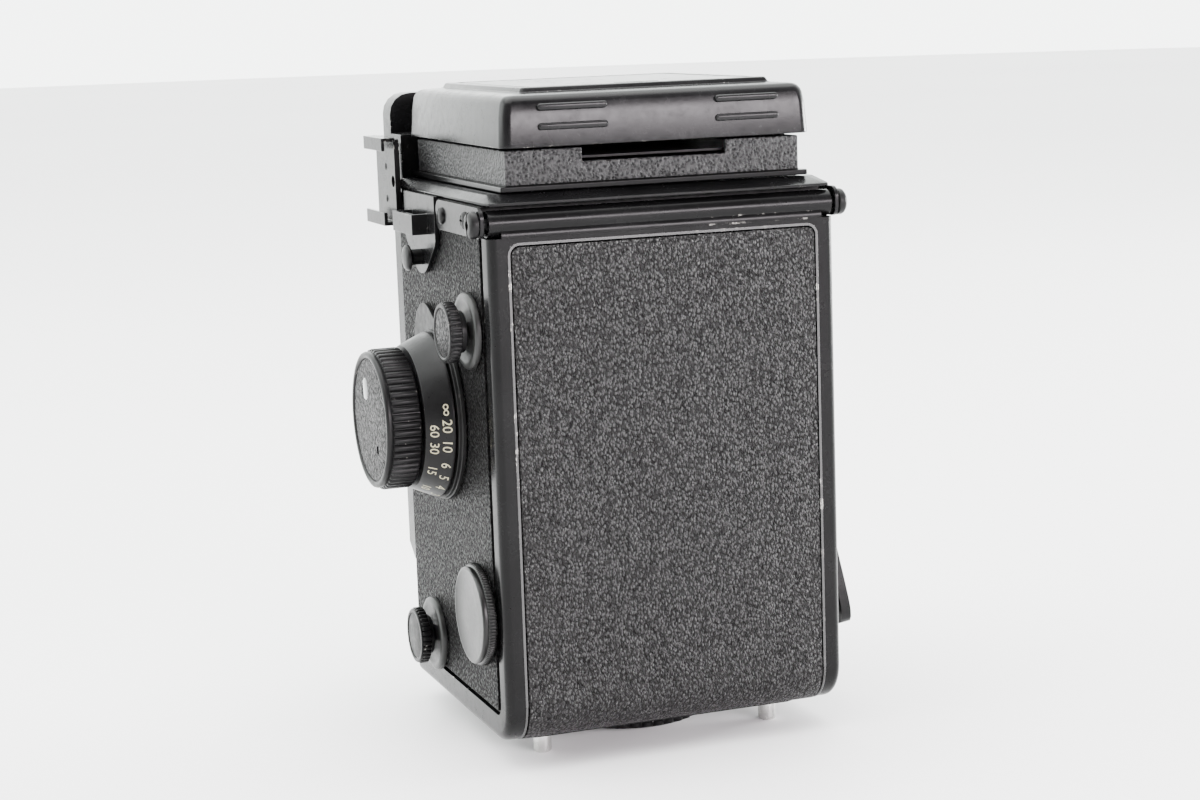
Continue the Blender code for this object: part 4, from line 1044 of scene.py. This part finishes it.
def winding():
    lean = Matrix.Translation((0.0, *CRANK)) @ Matrix.Rotation(CRANK_LEAN, 4, "X")
    ears = []
    for side in (-1, 1):
        y0, y1 = sorted((side * 4.2, side * 6.4))
        ear = rounded(-47.4, -42.4, -2.6, 2.6, 2.4, 8)
        ears.append(("add", moved(loft([[(x, y, z) for x, z in ear] for y in (y0, y1)]), lean)))
    pin = loft([[(CRANK_PIN_X + u, y, v) for u, v in circle((0, 0), 0.9, 24)] for y in (-6.0, 6.0)])
    disc = [
        (3.0, -35.6), (3.0, -40.7), (10.8, -40.7), (11.0, -40.9), (11.0, -42.2), (10.85, -42.6),
        (10.5, -42.9), (0, -42.9),
    ]
    piece(
        "crank_boss", "crank", "bright_steel", SATIN, turned("x", CRANK, disc, 80), *ears,
        ("add", moved(pin, lean)),
        ("add", prism("x", gear_outline(CRANK, 24), -36.4, -35.0)), stands="crank_hub", smooth=40,
    )
    frame_of_arm = lean @ Matrix.Translation((CRANK_PIN_X, 0.0, 0.0)) @ Matrix.Rotation(CRANK_TILT, 4, "Y")
    outline = [
        (-3.8, 1.3), (-3.8, -8.0), (-4.6, -36.0), (-4.55, -40.5), (-4.2, -42.6), (-3.5, -44.2),
        (-2.4, -45.2), (-1.2, -45.4),
    ]
    outline += [(-y, z) for y, z in reversed(outline)]
    barrel = loft([[(u, y, v) for u, v in circle((0, 0), 2.0, 36)] for y in (-3.6, 3.6)])
    hole = loft([[(u, y, v) for u, v in circle((0, 0), 1.25, 32)] for y in (-8.0, 8.0)])
    piece(
        "crank_lever", "arm", "bright_steel", SATIN, moved(prism("x", outline, -1.3, 1.1), frame_of_arm),
        ("add", moved(barrel, frame_of_arm)), ("cut", moved(hole, frame_of_arm)),
        ("add", moved(rod("x", (0.0, -40.2), 1.4, 0.5, 8.0, 32), frame_of_arm)), stands="crank_arm",
        smooth=40,
    )
    grip = [
        (1.8, 1.6), (3.1, 1.6), (3.3, 1.8), (3.6, 2.4), (3.55, 4.0), (3.4, 6.0), (3.2, 7.0), (2.9, 7.6),
        (2.4, 8.0), (1.8, 8.0),
    ]
    piece(
        "crank_peg", "grip", "bright_steel", PAINT,
        moved(turned("x", (0.0, -40.2), grip, 56, ring=True), frame_of_arm), stands="crank_grip",
        smooth=50,
    )
    piece(
        "counter_lid", "body", "black_enamel", SATIN,
        turned("x", COUNTER, [(10.0, -41.5), (10.25, -41.35), (10.4, -41.0), (10.4, -40.5)], 80),
        ("cut", prism("x", rounded(-24.8, -19.2, 94.6, 99.4, 1.2), -43.0, -40.0)), stands="counter_cover",
        smooth=40,
    )
    dial = [(1.9, -38.7), (8.3, -38.7), (8.4, -38.6), (8.4, -37.8), (1.9, -37.8)]
    piece(
        "counter_dial", "counter", "dial_ivory", DARK_PRINT, turned("x", COUNTER, dial, 72, ring=True),
        stands="counter_disc", smooth=40,
    )
    digits()
    half, r = 32.6, 12.0
    spool = [
        (2.5, -half), (r - 0.2, -half), (r, 0.2 - half), (r, 0.9 - half), (r - 0.2, 1.1 - half),
        (5.6, 1.3 - half), (5.6, half - 1.3), (r - 0.2, half - 1.1), (r, half - 0.9), (r, half - 0.2),
        (r - 0.2, half), (2.5, half),
    ]
    for name, centre, body, node in (
        ("takeup_reel_spool", TAKEUP, "takeup_reel", "takeup_spool"),
        ("supply_reel_spool", SUPPLY, "supply_reel", "supply_spool"),
    ):
        y, z = centre
        piece(
            name, body, "spool_plastic", SPOOL, turned("x", centre, spool, 72, ring=True),
            ("cut", box(-30.0, 30.0, y - 0.5, y + 0.5, z + 3.0, z + 7.0)), stands=node, smooth=40,
        )
    for name, centre, body, node in (
        ("upper_roll", UPPER_ROLLER, "roller_upper", "upper_roller"),
        ("lower_roll", LOWER_ROLLER, "roller_lower", "lower_roller"),
    ):
        ends = [
            (0, -31.6), (1.2, -31.6), (1.2, -31.0), (2.3, -31.0), (2.5, -30.8), (2.5, 30.8), (2.3, 31.0),
            (1.2, 31.0), (1.2, 31.6), (0, 31.6),
        ]
        piece(name, body, "bright_steel", STEEL_X, turned("x", centre, ends, 40), stands=node, smooth=40)
    for side in (-1, 1):
        x0, x1 = sorted((side * 29.4, side * 31.2))
        piece(
            f"film_rail_{side + 1}", "body", "bright_steel", STEEL, box(x0, x1, 26.5, 26.95, 21.5, 79.0),
            edge=0.12,
        )


def gear_outline(centre, teeth):
    pitch = teeth / 2
    outline = []
    for i in range(teeth):
        t = 2 * math.pi * i / teeth
        outline += circle(centre, pitch - 1.1, 1, t - 0.85 / pitch, t - 0.85 / pitch)[:1]
        outline += circle(centre, pitch + 0.7, 1, t - 0.3 / pitch, t + 0.3 / pitch)
        outline += circle(centre, pitch - 1.1, 1, t + 0.85 / pitch, t + 0.85 / pitch)[:1]
    return outline


def digits():
    """Frame numbers round the counter's dial."""
    points, faces = [], []
    for k in range(13):
        turn = math.radians(90 + 27.0 * k)

        def laid(u, v):
            r, t = 5.9 + v, turn + u / 5.9
            return (-38.74, COUNTER[0] + r * math.cos(t), COUNTER[1] + r * math.sin(t))

        add_text(points, faces, str(k) if k else "S", 2.3, laid, resolution=3, middle=True)
    piece("counter_digits", "counter", "dial_ivory", IVORY, (points, faces))


# ---- the studio ----

def studio():
    data = bpy.data.meshes.new("floor")
    ring = [(u, v, 0.0) for u, v in circle((0.0, 0.0), FLOOR_RADIUS, 64)]
    data.from_pydata(ring, [], [tuple(range(64))])
    floor = bpy.data.objects.new("floor", data)
    bpy.context.scene.collection.objects.link(floor)
    t = Tree("floor_white")
    cloud = t.noise(1.2, 2.0)
    t.fixed(
        Base_Color=t.blend(t.ranged(cloud, 0.3, 0.7), (0.86, 0.85, 0.86), (0.89, 0.89, 0.89)),
        Roughness=0.6,
    )
    data.materials.append(t.material)

    world = bpy.data.worlds.new("studio")
    bpy.context.scene.world = world
    world.use_nodes = True
    nodes, links = world.node_tree.nodes, world.node_tree.links
    back = nodes["Background"]
    where = nodes.new("ShaderNodeTexCoord")
    split = nodes.new("ShaderNodeSeparateXYZ")
    links.new(where.outputs["Generated"], split.inputs[0])
    across = nodes.new("ShaderNodeMapRange")
    across.interpolation_type = "SMOOTHSTEP"
    links.new(split.outputs["Y"], across.inputs["Value"])
    across.inputs["From Min"].default_value = -0.35
    across.inputs["From Max"].default_value = 0.75
    mix = nodes.new("ShaderNodeMix")
    mix.data_type = "RGBA"
    links.new(across.outputs["Result"], mix.inputs["Factor"])
    mix.inputs[6].default_value = SKY_AHEAD
    mix.inputs[7].default_value = SKY_BEHIND
    links.new(mix.outputs[2], back.inputs["Color"])
    back.inputs["Strength"].default_value = SKY_STRENGTH

    def lamp(name, where, at, size, power, colour=(1.0, 1.0, 1.0)):
        data = bpy.data.lights.new(name, "AREA")
        data.shape = "RECTANGLE"
        data.size, data.size_y = size
        data.energy = power
        data.color = colour
        obj = bpy.data.objects.new(name, data)
        obj.location = where
        obj.rotation_euler = (Vector(at) - Vector(where)).to_track_quat("-Z", "Y").to_euler()
        bpy.context.scene.collection.objects.link(obj)

    lamp("overhead", (0.1, 0.1, 1.3), (0, 0, 0.05), (1.4, 1.4), 34.0, (1.0, 0.99, 0.98))
    lamp("side", (1.3, -0.3, 0.7), (0, 0, 0.08), (1.0, 1.0), 16.0, (0.96, 1.0, 0.98))
    lamp("key", (-0.75, 2.0, 0.55), (0, 0, 0.07), (1.5, 0.45), 95.0, (1.0, 0.93, 0.97))
    lamp("rim", (-1.3, -0.1, 0.14), (0, 0, 0.08), (0.7, 0.24), 45.0, (1.0, 1.0, 1.0))

    camera = bpy.data.cameras.new("camera")
    camera.lens = 71.8
    camera.sensor_width = 36.0
    camera.sensor_fit = "HORIZONTAL"
    camera.clip_start = 0.01
    view = bpy.data.objects.new("camera", camera)
    forward = Vector((-0.3371, -0.9272, -0.1631)).normalized()
    up = Vector((-0.0883, -0.1414, 0.9860))
    right = forward.cross(up).normalized()
    up = right.cross(forward).normalized()
    turn = Matrix((right, up, -forward)).transposed().to_4x4()
    view.matrix_world = Matrix.Translation(Vector((187.6, 528.05, 164.9)) * MM) @ turn
    bpy.context.scene.collection.objects.link(view)
    bpy.context.scene.camera = view


packed_pieces()
focusing()
hinges_and_lugs()
back()
hood()
front()
winding()
studio()
